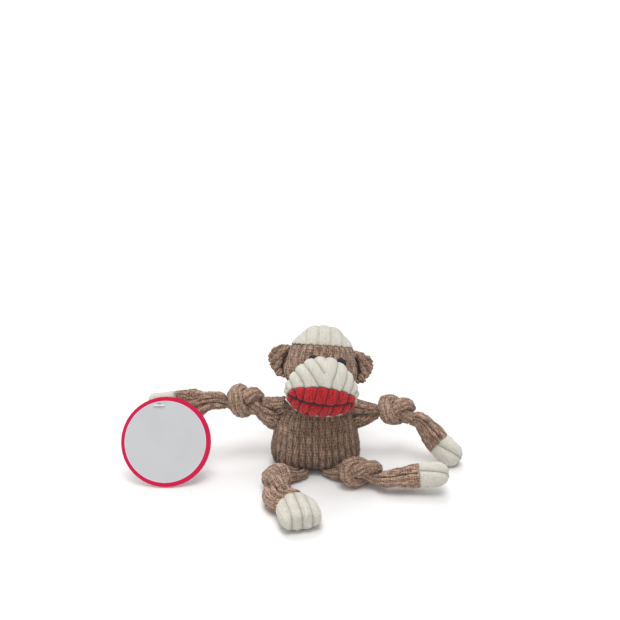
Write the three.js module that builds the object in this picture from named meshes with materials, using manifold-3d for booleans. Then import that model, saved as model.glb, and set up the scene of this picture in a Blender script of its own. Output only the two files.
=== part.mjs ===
import * as THREE from 'three';
import { mergeVertices } from 'three/addons/utils/BufferGeometryUtils.js';
import Module from 'manifold-3d';

// Sock monkey doll, sitting, in millimetres: X to the viewer's right, Y away from the viewer, Z up.
// The origin is on the floor under the seat. Right and left are the doll's own sides.

const wasm = await Module();
wasm.setup();

// Cloth and clearances
const CLOTH_THICKNESS = 2;
const SEAM_GAP = 0.3;
const STITCH_THICKNESS = 1;
const STITCH_WIDTH = 1.2;
const CUT_REACH = 150;

// Torso
const TORSO_LENGTH = 38.5;
const TORSO_HALF_WIDTH = 28.5;
const TORSO_HALF_DEPTH = 25;
const TORSO_FORWARD = 1.5;
const TORSO_RECLINE_DEG = 18;
const SEAT_FLAT_DEPTH = 0.5;
const SIDE_SEAM_LEAN_DEG = 40;
const CROTCH_SEAM_FORWARD = 21;

// Neck, a gathered dome of cloth that the head turns on
const NECK_RADIUS = 9;
const NECK_ACROSS = 1.6;
const NECK_BACK = 7.4;
const NECK_HEIGHT = 37;

// Squeaker
const SQUEAKER_RADIUS = 11;
const SQUEAKER_THICKNESS = 12;
const SQUEAKER_HEIGHT = 18;
const SQUEAKER_WALL = 1.2;
const REED_RADIUS = 3;
const REED_LENGTH = 6;

// Head, in its own frame: up is Z and the face looks along minus Y
const HEAD_HALF_WIDTH = 23;
const HEAD_HALF_DEPTH = 22;
const HEAD_HALF_HEIGHT = 27;
const HEAD_TILT_DEG = 26;
const HEAD_ROLL_DEG = 4.5;
const HEAD_SINK = 5;
const CAP_HEIGHT = 14;
const MUZZLE_HALF_WIDTH = 26;
const MUZZLE_ASIDE = 0.8;
const MUZZLE_HALF_HEIGHT = 20.6;
const MUZZLE_HALF_DEPTH = 18;
const MUZZLE_DROP = 15.7;
const MUZZLE_FORWARD = 21;
const LIP_TOP_DROP = 16.5;
const LIP_TOP_BOW = 3;
const MOUTH_DROP = 28.2;
const MOUTH_SMILE = 3.3;
const LIP_BOTTOM_DROP = 34.8;
const LIP_BOTTOM_SMILE = 4.5;
const EYE_RADIUS = 3.6;
const EYE_THICKNESS = 1.2;
const EYE_RISE = 3.5;
const RIGHT_EYE_ACROSS = 8;
const LEFT_EYE_ACROSS = 12.5;
const EAR_HALF_HEIGHT = 10.5;
const EAR_REACH = 10.5;
const EAR_ROOT_RADIUS = 2.4;
const EAR_ROOT_HALF_HEIGHT = 8;
const EAR_ROOT_GAP = 0.6;
const EAR_LAYER_THICKNESS = 2;

// Limbs
const ARM_HEIGHT = 31;
const ARM_FORWARD = 1;
const HIP_HEIGHT = 8.5;
const HIP_SPREAD = 13;
const ROOT_RADIUS = 4.6;
const ROOT_GAP = 0.4;
const ELBOW_GAP = 0.8;
const HIP_TUCK = 0.5;
const TUBE_HALF_WIDTH = 8;
const TUBE_HALF_THICKNESS = 5.5;
const RIGHT_UPPER_ARM_LENGTH = 7;
const LEFT_UPPER_ARM_LENGTH = 8.5;
const UPPER_ARM_SWELL = 2;
const RIGHT_THIGH_LENGTH = 14;
const LEFT_THIGH_LENGTH = 8;
const THIGH_SWELL = 1;
const RIGHT_ARM_STRAND = 7.4;
const STRAND = 7.2;
const RIGHT_FOREARM_LENGTH = 28;
const LEFT_FOREARM_LENGTH = 18;
const RIGHT_SHIN_LENGTH = 13;
const LEFT_SHIN_LENGTH = 20;
const LOWER_SWELL = 0.5;
const RIGHT_HAND_LENGTH = 22;
const LEFT_HAND_LENGTH = 23;
const HAND_HALF_WIDTH = 8.5;
const HAND_HALF_THICKNESS = 6.5;
const RIGHT_FOOT_LENGTH = 24;
const RIGHT_FOOT_HALF_WIDTH = 13;
const RIGHT_FOOT_HALF_THICKNESS = 8;
const LEFT_FOOT_LENGTH = 25;
const LEFT_FOOT_HALF_WIDTH = 10;
const LEFT_FOOT_HALF_THICKNESS = 7.5;

// Tag
const TAG_RADIUS = 30.5;
const TAG_THICKNESS = 1;
const TAG_HOLE_RADIUS = 1.6;
const TAG_HOLE_INSET = 5.4;
const TAG_HOLE_ASIDE = 4.9;
const TAG_FLOOR_GAP = 0.3;
const PIN_CLEARANCE = 1.75;
const PIN_DROP = 1.25;
const PIN_ALONG_SHARE = 0.444;
const PIN_REACH = 7;
const FASTENER_RADIUS = 0.6;
const FASTENER_BAR_LENGTH = 7;

// Counts of facets
const TAG_SIDES = 48;
const BODY_SIDES = 18;
const BODY_RINGS = 9;
const MUZZLE_RINGS = 9;
const TUBE_SIDES = 10;
const TUBE_RINGS = 5;
const ROOT_RINGS = 3;
const PAW_RINGS = 5;
const PAW_LAST_RING_SHARE = 0.4;
const KNOT_SIDES = 6;
const BOUNDARY_STEPS = 8;
const ROUND_STEPS = 3;

// Shapes as shares of the sizes above
const ROUND_SHARES = { width: 3.6, depth: 2.5, head: 2.25, muzzle: 2.4, section: 2.3, paw: 2.6 };
const TORSO_BELLY_SHARE = 0.28;
const TORSO_THINNING_SHARE = 0.48;
const MUZZLE_NARROWING_SHARE = 0.62;
const MUZZLE_NARROWING_START_SHARE = 0.44;

const CLOTH_ROUGHNESS_SHARE = 0.95;
const PLASTIC_ROUGHNESS_SHARE = 0.4;
const COLOURS = {
  brown: 0x8c7364,
  cream: 0xdedccf,
  red: 0xc32832,
  black: 0x15171c,
  stuffing: 0xf4f2ec,
  clear: 0xdfe3e6,
  card: 0xd8506f,
};

const radians = THREE.MathUtils.degToRad;
const point = (across, back, up) => new THREE.Vector3(across, back, up);
const UP = point(0, 0, 1);

/** Unit vector from a bearing, turned from plus X towards plus Y, and a climb above the floor. */
function heading(bearingDeg, climbDeg) {
  const flat = Math.cos(radians(climbDeg));
  const bearing = radians(bearingDeg);
  return point(flat * Math.cos(bearing), flat * Math.sin(bearing), Math.sin(radians(climbDeg)));
}

/** Closed surface through rings that run anticlockwise about the way they follow. */
function loft(rings) {
  const sides = rings[0].length;
  const middle = (ring) => ring.reduce((sum, each) => sum.add(each), point(0, 0, 0)).divideScalar(sides);
  const points = rings.flat();
  const first = points.push(middle(rings[0])) - 1;
  const last = points.push(middle(rings[rings.length - 1])) - 1;
  const top = (rings.length - 1) * sides;
  const index = [];
  for (let side = 0; side < sides; side += 1) {
    const next = (side + 1) % sides;
    index.push(first, next, side, last, top + side, top + next);
    for (let low = 0; low < top; low += sides) {
      const high = low + sides;
      index.push(low + side, low + next, high + next, low + side, high + next, high + side);
    }
  }
  const geometry = new THREE.BufferGeometry().setFromPoints(points);
  geometry.setIndex(index);
  return geometry;
}

/** Solid for joining and cutting, from a closed geometry. */
function solid(geometry) {
  const bare = geometry.clone();
  bare.deleteAttribute('normal');
  bare.deleteAttribute('uv');
  const merged = mergeVertices(bare);
  return new wasm.Manifold(new wasm.Mesh({
    numProp: 3,
    vertProperties: new Float32Array(merged.attributes.position.array),
    triVerts: new Uint32Array(merged.index.array),
  }));
}

/** Named mesh from a solid, in a colour and with a roughness. */
function piece(name, body, colour, roughness) {
  const cut = body.getMesh();
  const geometry = new THREE.BufferGeometry();
  geometry.setAttribute('position', new THREE.BufferAttribute(cut.vertProperties, 3));
  geometry.setIndex(new THREE.BufferAttribute(cut.triVerts, 1));
  geometry.computeVertexNormals();
  const material = new THREE.MeshStandardMaterial({ color: colour, roughness, metalness: 0 });
  const mesh = new THREE.Mesh(geometry, material);
  mesh.name = name;
  return mesh;
}

const cloth = (name, body, colour) => piece(name, body, colour, CLOTH_ROUGHNESS_SHARE);

/** Block that fills all on the far side of a plane, which faces along a direction from a place. */
function beyond(place, direction) {
  const block = new THREE.BoxGeometry(2 * CUT_REACH, 2 * CUT_REACH, CUT_REACH);
  block.translate(0, 0, CUT_REACH / 2);
  block.applyQuaternion(new THREE.Quaternion().setFromUnitVectors(UP, direction));
  block.translate(place.x, place.y, place.z);
  return solid(block);
}

/** Ball at a place. */
function ball(place, radius) {
  const sphere = new THREE.SphereGeometry(radius, BODY_SIDES, BODY_RINGS);
  sphere.translate(place.x, place.y, place.z);
  return solid(sphere);
}

/** Cylinder about Y, from one depth to a deeper one, at a height. */
function barrel(radius, front, back, height) {
  const rod = new THREE.CylinderGeometry(radius, radius, back - front, TUBE_SIDES);
  rod.translate(0, (front + back) / 2, height);
  return solid(rod);
}

/** How full a rounded form is at a place from minus one to one along it. */
const fullness = (along, roundShare) => (1 - Math.abs(along) ** roundShare) ** (1 / roundShare);

/** One oval ring of a form: a signed power rounds its corners. */
function oval(sides, roundShare, place) {
  return Array.from({ length: sides }, (_, side) => {
    const turn = (2 * Math.PI * side) / sides;
    const power = (value) => Math.sign(value) * Math.abs(value) ** (2 / roundShare);
    return place(power(Math.cos(turn)), power(Math.sin(turn)));
  });
}

/** Places from minus one to one, closer together near both ends. */
function steps(count) {
  return Array.from({ length: count }, (_, ring) => -Math.cos((Math.PI * (ring + 0.5)) / count));
}

/** Half the torso's width at a height. */
function torsoHalfWidth(height, inset) {
  const share = height / TORSO_LENGTH;
  const belly = 1 + TORSO_BELLY_SHARE * (1 - share) ** 3;
  return (TORSO_HALF_WIDTH - inset) * belly * fullness(2 * share - 1, ROUND_SHARES.width);
}

/** Half the torso's depth at a height. */
function torsoHalfDepth(height, inset) {
  const share = height / TORSO_LENGTH;
  const thinning = 1 - TORSO_THINNING_SHARE * share;
  return (TORSO_HALF_DEPTH - inset) * thinning * fullness(2 * share - 1, ROUND_SHARES.depth);
}

/** How far back the torso's middle lies at a height. */
const torsoBack = (height) => height * Math.tan(radians(TORSO_RECLINE_DEG)) - TORSO_FORWARD;

/** Torso's filled form, drawn in all round by an inset. */
function torsoForm(inset) {
  const halfLength = TORSO_LENGTH / 2;
  const rings = steps(BODY_RINGS).map((along) => {
    const outer = halfLength * (1 + along);
    const height = halfLength + (halfLength - inset) * along - SEAT_FLAT_DEPTH * (1 - along) / 2;
    const halfWidth = torsoHalfWidth(outer, inset);
    const halfDepth = torsoHalfDepth(outer, inset);
    const ring = (across, back) => point(halfWidth * across, torsoBack(outer) + halfDepth * back, height);
    return oval(BODY_SIDES, ROUND_SHARES.section, ring);
  });
  return solid(loft(rings));
}

const neck = point(NECK_ACROSS, NECK_BACK, NECK_HEIGHT);

/** Torso: two cloth panels sewn along the sides, and what they hold. */
function torso() {
  const floor = beyond(point(0, 0, 0), point(0, 0, -1));
  const filled = torsoForm(0).add(ball(neck, NECK_RADIUS));
  const shell = filled.subtract(torsoForm(CLOTH_THICKNESS)).subtract(floor);
  const lean = radians(SIDE_SEAM_LEAN_DEG);
  const ahead = point(0, -Math.cos(lean), Math.sin(lean));
  const seam = point(0, -CROTCH_SEAM_FORWARD, 0);
  const frontSide = beyond(seam.clone().addScaledVector(ahead, SEAM_GAP / 2), ahead);
  const behind = ahead.clone().negate();
  const backSide = beyond(seam.clone().addScaledVector(behind, SEAM_GAP / 2), behind);

  const front = torsoBack(SQUEAKER_HEIGHT) - SQUEAKER_THICKNESS / 2;
  const back = front + SQUEAKER_THICKNESS;
  const pocket = barrel(SQUEAKER_RADIUS + SEAM_GAP, front - SEAM_GAP, CUT_REACH, SQUEAKER_HEIGHT);
  const stuffing = torsoForm(CLOTH_THICKNESS + SEAM_GAP).subtract(floor).subtract(pocket);
  const airRadius = SQUEAKER_RADIUS - SQUEAKER_WALL;
  const air = barrel(airRadius, front + SQUEAKER_WALL, back - SQUEAKER_WALL, SQUEAKER_HEIGHT);
  const bore = barrel(REED_RADIUS + SEAM_GAP, back - REED_LENGTH, back + SEAM_GAP, SQUEAKER_HEIGHT);
  const bulb = barrel(SQUEAKER_RADIUS, front, back, SQUEAKER_HEIGHT).subtract(air).subtract(bore);
  const reed = barrel(REED_RADIUS, back - REED_LENGTH, back, SQUEAKER_HEIGHT);
  return [
    cloth('torso_front_panel', shell.intersect(frontSide), COLOURS.brown),
    cloth('torso_back_panel', shell.intersect(backSide), COLOURS.brown),
    cloth('torso_stuffing', stuffing, COLOURS.stuffing),
    piece('torso_squeaker', bulb, COLOURS.clear, PLASTIC_ROUGHNESS_SHARE),
    piece('torso_squeaker_reed', reed, COLOURS.clear, PLASTIC_ROUGHNESS_SHARE),
  ];
}

const HEAD_RISE = NECK_RADIUS + HEAD_HALF_HEIGHT - HEAD_SINK;

/** Head's filled form about its middle, drawn in all round by an inset. */
function headForm(inset) {
  const rings = steps(BODY_RINGS).map((along) => {
    const full = fullness(along, ROUND_SHARES.head);
    const halfWidth = (HEAD_HALF_WIDTH - inset) * full;
    const halfDepth = (HEAD_HALF_DEPTH - inset) * full;
    const height = (HEAD_HALF_HEIGHT - inset) * along;
    return oval(BODY_SIDES, ROUND_SHARES.section, (across, back) => {
      return point(halfWidth * across, halfDepth * back, height);
    });
  });
  return solid(loft(rings));
}

/** Muzzle's filled form on the front of the head: wide below and narrow above. */
function muzzleForm(inset) {
  const rings = steps(MUZZLE_RINGS).map((along) => {
    const share = (1 + along) / 2;
    const above = Math.max(0, share - MUZZLE_NARROWING_START_SHARE);
    const full = fullness(along, ROUND_SHARES.muzzle);
    const halfWidth = (MUZZLE_HALF_WIDTH - inset) * full * (1 - MUZZLE_NARROWING_SHARE * above);
    const halfDepth = (MUZZLE_HALF_DEPTH - inset) * full;
    const height = (MUZZLE_HALF_HEIGHT - inset) * along - MUZZLE_DROP;
    return oval(BODY_SIDES, ROUND_SHARES.section, (across, back) => {
      return point(halfWidth * across + MUZZLE_ASIDE, halfDepth * back - MUZZLE_FORWARD, height);
    });
  });
  return solid(loft(rings));
}

/** Line across the muzzle, seen from the front: a drop in the middle and a bow towards the sides. */
const mouthCurve = (drop, rise) => (across) => rise * (across / MUZZLE_HALF_WIDTH) ** 2 - drop;

/** Block between two lines across the muzzle, each moved up by a shift. */
function band(low, lowShift, high, highShift) {
  const half = MUZZLE_HALF_WIDTH + CLOTH_THICKNESS;
  const places = Array.from({ length: BOUNDARY_STEPS + 1 }, (_, step) => {
    return half * ((2 * step) / BOUNDARY_STEPS - 1);
  });
  const along = (curve, shift) => places.map((across) => new THREE.Vector2(across, curve(across) + shift));
  const outline = [...along(low, lowShift), ...along(high, highShift).reverse()];
  const sheet = new THREE.Shape(outline);
  const block = new THREE.ExtrudeGeometry(sheet, { depth: 2 * CUT_REACH, bevelEnabled: false });
  block.rotateX(Math.PI / 2);
  block.translate(0, CUT_REACH, 0);
  return solid(block);
}

/** Muzzle: cream panels above and below, two lips, the stitched mouth line and the stuffing. */
function muzzle(socket) {
  const face = headForm(-SEAM_GAP).add(socket);
  const shell = muzzleForm(0).subtract(muzzleForm(CLOTH_THICKNESS)).subtract(face);
  const sky = mouthCurve(-CUT_REACH, 0);
  const ground = mouthCurve(CUT_REACH, 0);
  const lipTop = mouthCurve(LIP_TOP_DROP, -LIP_TOP_BOW);
  const mouth = mouthCurve(MOUTH_DROP, MOUTH_SMILE);
  const lipBottom = mouthCurve(LIP_BOTTOM_DROP, LIP_BOTTOM_SMILE);
  const seam = SEAM_GAP / 2;
  const slot = STITCH_WIDTH / 2 + SEAM_GAP;
  const skin = muzzleForm(0).subtract(muzzleForm(STITCH_THICKNESS)).subtract(face);
  const stitch = skin.intersect(band(mouth, -STITCH_WIDTH / 2, mouth, STITCH_WIDTH / 2));
  const stuffing = muzzleForm(CLOTH_THICKNESS + SEAM_GAP).subtract(face);
  return [
    cloth('muzzle_panel', shell.intersect(band(lipTop, seam, sky, 0)), COLOURS.cream),
    cloth('upper_lip', shell.intersect(band(mouth, slot, lipTop, -seam)), COLOURS.red),
    cloth('mouth_stitch', stitch, COLOURS.black),
    cloth('lower_lip', shell.intersect(band(lipBottom, seam, mouth, -slot)), COLOURS.red),
    cloth('chin_panel', shell.intersect(band(ground, 0, lipBottom, -seam)), COLOURS.cream),
    cloth('muzzle_stuffing', stuffing, COLOURS.stuffing),
  ];
}

/** Embroidered eye, a thin patch that follows the face and stops at the muzzle. */
function eye(name, across) {
  const patch = new THREE.CylinderGeometry(EYE_RADIUS, EYE_RADIUS, CUT_REACH, BODY_SIDES);
  patch.translate(across, -CUT_REACH / 2, EYE_RISE);
  const layer = headForm(-SEAM_GAP - EYE_THICKNESS).subtract(headForm(-SEAM_GAP));
  return cloth(name, layer.intersect(solid(patch)).subtract(muzzleForm(-SEAM_GAP)), COLOURS.black);
}

const EAR_AXIS_ACROSS = HEAD_HALF_WIDTH + EAR_ROOT_GAP + EAR_ROOT_RADIUS;

/** Ear on one side of the head, minus one or one: cloth folded over, so two layers on a rounded root. */
function ear(name, side) {
  const outline = new THREE.Shape();
  outline.moveTo(0, -EAR_HALF_HEIGHT);
  outline.absellipse(0, 0, EAR_REACH, EAR_HALF_HEIGHT, -Math.PI / 2, Math.PI / 2, false, 0);
  outline.closePath();
  const depth = 2 * EAR_LAYER_THICKNESS + SEAM_GAP;
  const cut = { depth, bevelEnabled: false, curveSegments: BOUNDARY_STEPS };
  const flap = new THREE.ExtrudeGeometry(outline, cut);
  flap.rotateX(Math.PI / 2);
  flap.translate(0, depth / 2, 0);
  const rootLength = 2 * EAR_ROOT_HALF_HEIGHT;
  const root = new THREE.CylinderGeometry(EAR_ROOT_RADIUS, EAR_ROOT_RADIUS, rootLength, TUBE_SIDES);
  root.rotateX(Math.PI / 2);
  const body = solid(flap).add(solid(root)).rotate([0, 0, side < 0 ? 180 : 0]);
  const placed = body.translate([side * EAR_AXIS_ACROSS, 0, 0]);
  const front = beyond(point(0, -SEAM_GAP / 2, 0), point(0, -1, 0));
  const back = beyond(point(0, SEAM_GAP / 2, 0), point(0, 1, 0));
  return [
    cloth(`${name}_front_layer`, placed.intersect(front), COLOURS.brown),
    cloth(`${name}_back_layer`, placed.intersect(back), COLOURS.brown),
  ];
}

/** Head, turned back and a little to one side on the dome of the neck. */
function head() {
  const group = new THREE.Group();
  group.rotation.set(-radians(HEAD_TILT_DEG), radians(HEAD_ROLL_DEG), 0, 'YXZ');
  group.position.copy(neck).add(point(0, 0, HEAD_RISE).applyEuler(group.rotation));
  const socket = ball(point(0, 0, -HEAD_RISE), NECK_RADIUS + SEAM_GAP);
  const shell = headForm(0).subtract(headForm(CLOTH_THICKNESS)).subtract(socket);
  const seam = SEAM_GAP / 2;
  const capEdge = HEAD_HALF_HEIGHT - CAP_HEIGHT;
  const below = shell.subtract(beyond(point(0, 0, capEdge - seam), UP));
  group.add(
    cloth('crown_cap', shell.intersect(beyond(point(0, 0, capEdge + seam), UP)), COLOURS.cream),
    cloth('face_panel', below.intersect(beyond(point(0, -seam, 0), point(0, -1, 0))), COLOURS.brown),
    cloth('head_back_panel', below.intersect(beyond(point(0, seam, 0), point(0, 1, 0))), COLOURS.brown),
    cloth('head_stuffing', headForm(CLOTH_THICKNESS + SEAM_GAP).subtract(socket), COLOURS.stuffing),
    eye('right_eye', -RIGHT_EYE_ACROSS),
    eye('left_eye', LEFT_EYE_ACROSS),
    ...muzzle(socket),
    ...ear('right_ear', -1),
    ...ear('left_ear', 1),
  );
  return group;
}

// One overhand knot, loose: where the strand is along a cubic and quartic loop, and how far it is lifted
// there, in strand diameters
const KNOT_TURN_SHARES = [-2.3, -1.93, -1.73, -1.2, -0.518, 0, 0.518, 1.2, 1.73, 1.93, 2.3];
const KNOT_LIFT_SHARES = [0, 0.7, -0.7, 0, 0.7, 0, -0.7, 0, 0.7, -0.7, 0];
const KNOT_LOOSE_SHARE = 0.8;
const KNOT_CUBIC_SHARE = 3;
const KNOT_QUARTIC_SHARE = 4;
const KNOT_TAIL_SHARE = 3;
const KNOT_BEADS = 80;
const KNOT_ROUNDS = 800;
const KNOT_SETTLES = 14;
const KNOT_PULL_SHARE = 0.04;
const KNOT_STRETCH_SHARE = 1.01;
const KNOT_STIFF_SHARE = 0.05;
const KNOT_APART_SHARE = 1.45;
const KNOT_TOUCH_SHARE = 1.1;
const KNOT_MARGIN_BEADS = 1;
const KNOT_FATNESS_SHARE = 1.3;

/** Length of a chain of points. */
function chainLength(beads) {
  return beads.slice(1).reduce((sum, bead, before) => sum + bead.distanceTo(beads[before]), 0);
}

/** Moves two beads to a distance from each other; a held bead stays. */
function separate(one, other, distance, oneHeld, otherHeld) {
  const gap = new THREE.Vector3().subVectors(other, one);
  const length = gap.length();
  gap.multiplyScalar((length - distance) / (2 * length));
  if (!oneHeld) one.add(gap);
  if (!otherHeld) other.sub(gap);
}

/** Overhand knot pulled tight by its ends, as points in strand diameters about the line of its ends. */
function tightKnot() {
  const guides = KNOT_TURN_SHARES.map((turn, place) => {
    const across = (turn ** 3 - KNOT_CUBIC_SHARE * turn) * KNOT_LOOSE_SHARE;
    const drop = (turn ** 4 - KNOT_QUARTIC_SHARE * turn ** 2) * KNOT_LOOSE_SHARE;
    return point(across, drop, KNOT_LIFT_SHARES[place]);
  });
  const tail = point(KNOT_TAIL_SHARE, 0, 0);
  guides.unshift(guides[0].clone().sub(tail));
  guides.push(guides[guides.length - 1].clone().add(tail));
  const beads = new THREE.CatmullRomCurve3(guides, false, 'centripetal').getSpacedPoints(KNOT_BEADS - 1);
  const last = beads.length - 1;
  const rest = chainLength(beads);
  const step = rest / last;
  const apart = Math.ceil(KNOT_APART_SHARE / step);
  const pairs = [];
  for (let one = 0; one <= last; one += 1) {
    for (let other = one + apart; other <= last; other += 1) pairs.push([one, other]);
  }
  for (let round = 0; round < KNOT_ROUNDS; round += 1) {
    if (chainLength(beads) < rest * KNOT_STRETCH_SHARE) {
      beads[0].x -= KNOT_PULL_SHARE;
      beads[last].x += KNOT_PULL_SHARE;
    }
    for (let bead = 1; bead < last; bead += 1) {
      const straight = beads[bead - 1].clone().add(beads[bead + 1]).multiplyScalar(0.5);
      beads[bead].lerp(straight, KNOT_STIFF_SHARE);
    }
    for (let settle = 0; settle < KNOT_SETTLES; settle += 1) {
      for (let bead = 1; bead <= last; bead += 1) {
        separate(beads[bead - 1], beads[bead], step, bead === 1, bead === last);
      }
      for (const [one, other] of pairs) {
        if (beads[one].distanceTo(beads[other]) < 1) separate(beads[one], beads[other], 1, false, false);
      }
    }
  }
  const touching = pairs.filter(([one, other]) => beads[one].distanceTo(beads[other]) < KNOT_TOUCH_SHARE);
  const from = Math.min(...touching.map(([one]) => one)) - KNOT_MARGIN_BEADS;
  const to = Math.max(...touching.map(([, other]) => other)) + KNOT_MARGIN_BEADS;
  const kept = beads.slice(from, to + 1);
  const line = kept[0].clone().add(kept[kept.length - 1]).multiplyScalar(0.5);
  return kept.map((bead) => bead.clone().sub(line));
}

const KNOT = tightKnot();

/** Right-handed frame along a direction: level side, lift and the direction itself. */
function frameAlong(direction) {
  const side = new THREE.Vector3().crossVectors(direction, UP).normalize().negate();
  const lift = new THREE.Vector3().crossVectors(direction, side);
  return { side, lift, direction };
}

/** Place in a frame, from a start, along it, to its side and up. */
function inFrame(start, frame, along, aside, up) {
  return start.clone()
    .addScaledVector(frame.direction, along)
    .addScaledVector(frame.side, aside)
    .addScaledVector(frame.lift, up);
}

/** Centreline of a limb's knot, from its entry along a direction, its bulk turned about that line. */
function knotPath(entry, direction, knot) {
  const frame = frameAlong(direction);
  const turn = radians(knot.bulkTurnDeg);
  return KNOT.map((bead) => {
    const aside = bead.z * Math.cos(turn) - bead.y * Math.sin(turn);
    const up = -bead.z * Math.sin(turn) - bead.y * Math.cos(turn);
    return inFrame(entry, frame, (bead.x - KNOT[0].x) * knot.strand, aside * knot.strand, up * knot.strand);
  });
}

/** Tube along a knotted path that stays clear of its own other turns. */
function knotForm(path, radius) {
  const reach = Math.ceil((Math.PI * radius) / path[0].distanceTo(path[1]));
  let side = new THREE.Vector3().crossVectors(UP, path[1].clone().sub(path[0])).normalize();
  const rings = path.map((centre, place) => {
    const before = path[Math.max(0, place - 1)];
    const after = path[Math.min(path.length - 1, place + 1)];
    const way = after.clone().sub(before).normalize();
    side = side.clone().addScaledVector(way, -side.dot(way)).normalize();
    const lift = new THREE.Vector3().crossVectors(way, side);
    return oval(KNOT_SIDES, 2, (across, up) => {
      const out = side.clone().multiplyScalar(across).addScaledVector(lift, up);
      const room = path.reduce((least, other, index) => {
        const gap = other.clone().sub(centre);
        const facing = out.dot(gap) / gap.length();
        if (Math.abs(index - place) < reach || facing <= 0) return least;
        return Math.min(least, (gap.length() - SEAM_GAP) / (2 * facing));
      }, radius);
      return centre.clone().addScaledVector(out, room);
    });
  });
  return solid(loft(rings));
}

/** Tube with a ball root at a pivot, which swells and then takes its end size at a flat end. */
function tubeForm(pivot, direction, length, endHalfWidth, endHalfThickness, swell) {
  const frame = frameAlong(direction);
  const ring = (along, halfWidth, halfThickness) => oval(TUBE_SIDES, 2, (across, up) => {
    return inFrame(pivot, frame, along, halfWidth * across, halfThickness * up);
  });
  const root = Array.from({ length: ROOT_RINGS }, (_, step) => {
    const turn = ((Math.PI / 2) * (step + 0.5)) / ROOT_RINGS;
    const round = ROOT_RADIUS * Math.sin(turn);
    return ring(-ROOT_RADIUS * Math.cos(turn), round, round);
  });
  const shaft = Array.from({ length: TUBE_RINGS }, (_, step) => {
    const share = step / (TUBE_RINGS - 1);
    const smooth = share * share * (3 - 2 * share);
    const extra = swell * Math.sin(Math.PI * smooth);
    const grown = (end) => ROOT_RADIUS + (end - ROOT_RADIUS) * smooth + extra;
    return ring(length * share, grown(endHalfWidth), grown(endHalfThickness));
  });
  return solid(loft([...root, ...shaft]));
}

/** Hand or foot form: open end at the wrist, full in the middle, round at the tip. */
function pawForm(wrist, direction, paw, inset, early) {
  const frame = frameAlong(direction);
  const rings = Array.from({ length: PAW_RINGS + 1 }, (_, step) => {
    const share = Math.sin((Math.PI / 2) * (step / (PAW_RINGS + PAW_LAST_RING_SHARE)));
    const tip = Math.max(0, 2 * share - 1);
    const wide = Math.min(1, 2 * share);
    const full = fullness(tip, ROUND_SHARES.paw);
    const grown = (start, most) => (start + (most - start) * wide - inset) * full;
    const halfWidth = grown(TUBE_HALF_WIDTH, paw.halfWidth);
    const halfThickness = grown(TUBE_HALF_THICKNESS, paw.halfThickness);
    const along = (paw.length - inset) * share - (step === 0 ? early : 0);
    return oval(TUBE_SIDES, ROUND_SHARES.section, (across, up) => {
      return inFrame(wrist, frame, along, halfWidth * across, halfThickness * up);
    });
  });
  return solid(loft(rings));
}

/** Limb from its root on the torso: upper tube, knot, lower tube, hand or foot, and its stuffing. */
function limb(names, root, upper, knot, lower, paw) {
  const way = (stretch) => heading(stretch.bearingDeg, stretch.climbDeg);
  const knotRadius = (knot.strand / 2) * KNOT_FATNESS_SHARE;
  const upperEnd = root.clone().addScaledVector(way(upper), upper.length);
  const entry = upperEnd.clone().addScaledVector(way(knot), SEAM_GAP);
  const path = knotPath(entry, way(knot), knot);
  const pivot = path[path.length - 1].clone().addScaledVector(way(knot), ELBOW_GAP + ROOT_RADIUS);
  const lowerEnd = pivot.clone().addScaledVector(way(lower), lower.length);
  const wrist = lowerEnd.clone().addScaledVector(way(paw), SEAM_GAP);
  const grown = (stretch) => stretch.length + CLOTH_THICKNESS;
  const upperTube = tubeForm(root, way(upper), grown(upper), knotRadius, knotRadius, upper.swell);
  const lowerTube = tubeForm(
    pivot, way(lower), grown(lower), TUBE_HALF_WIDTH, TUBE_HALF_THICKNESS, lower.swell,
  );
  const cuff = pawForm(wrist, way(paw), paw, 0, 0);
  const inside = pawForm(wrist, way(paw), paw, CLOTH_THICKNESS, CLOTH_THICKNESS);
  const filling = pawForm(wrist, way(paw), paw, CLOTH_THICKNESS + SEAM_GAP, 0);
  const knotted = knotForm(path, knotRadius).intersect(beyond(entry, way(knot)));
  const upperCut = upperTube.subtract(beyond(upperEnd, way(knot))).subtract(torsoForm(-SEAM_GAP));
  const pieces = [
    cloth(names.upper, upperCut, COLOURS.brown),
    cloth(names.knot, knotted, COLOURS.brown),
    cloth(names.lower, lowerTube.subtract(beyond(lowerEnd, way(paw))), COLOURS.brown),
    cloth(names.paw, cuff.subtract(inside), COLOURS.cream),
    cloth(`${names.paw}_stuffing`, filling, COLOURS.stuffing),
  ];
  const aside = paw.halfWidth + PIN_CLEARANCE;
  const along = paw.length * PIN_ALONG_SHARE;
  const pin = inFrame(wrist, frameAlong(way(paw)), along, aside, paw.halfThickness - PIN_DROP);
  return { pieces, pin, pawRoom: pawForm(wrist, way(paw), paw, -SEAM_GAP, 0) };
}

/** Root of an arm, beside the torso at a height. */
function armRoot(side) {
  const across = torsoHalfWidth(ARM_HEIGHT, 0) + ROOT_GAP + ROOT_RADIUS;
  return point(side * across, torsoBack(ARM_HEIGHT) - ARM_FORWARD, ARM_HEIGHT);
}

/** Root of a leg, in front of the torso near the floor. */
function legRoot(side) {
  const aside = fullness(HIP_SPREAD / torsoHalfWidth(HIP_HEIGHT, 0), ROUND_SHARES.section);
  const front = torsoHalfDepth(HIP_HEIGHT, 0) * aside - torsoBack(HIP_HEIGHT);
  return point(side * HIP_SPREAD, HIP_TUCK - front - ROOT_GAP - ROOT_RADIUS, HIP_HEIGHT);
}

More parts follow.
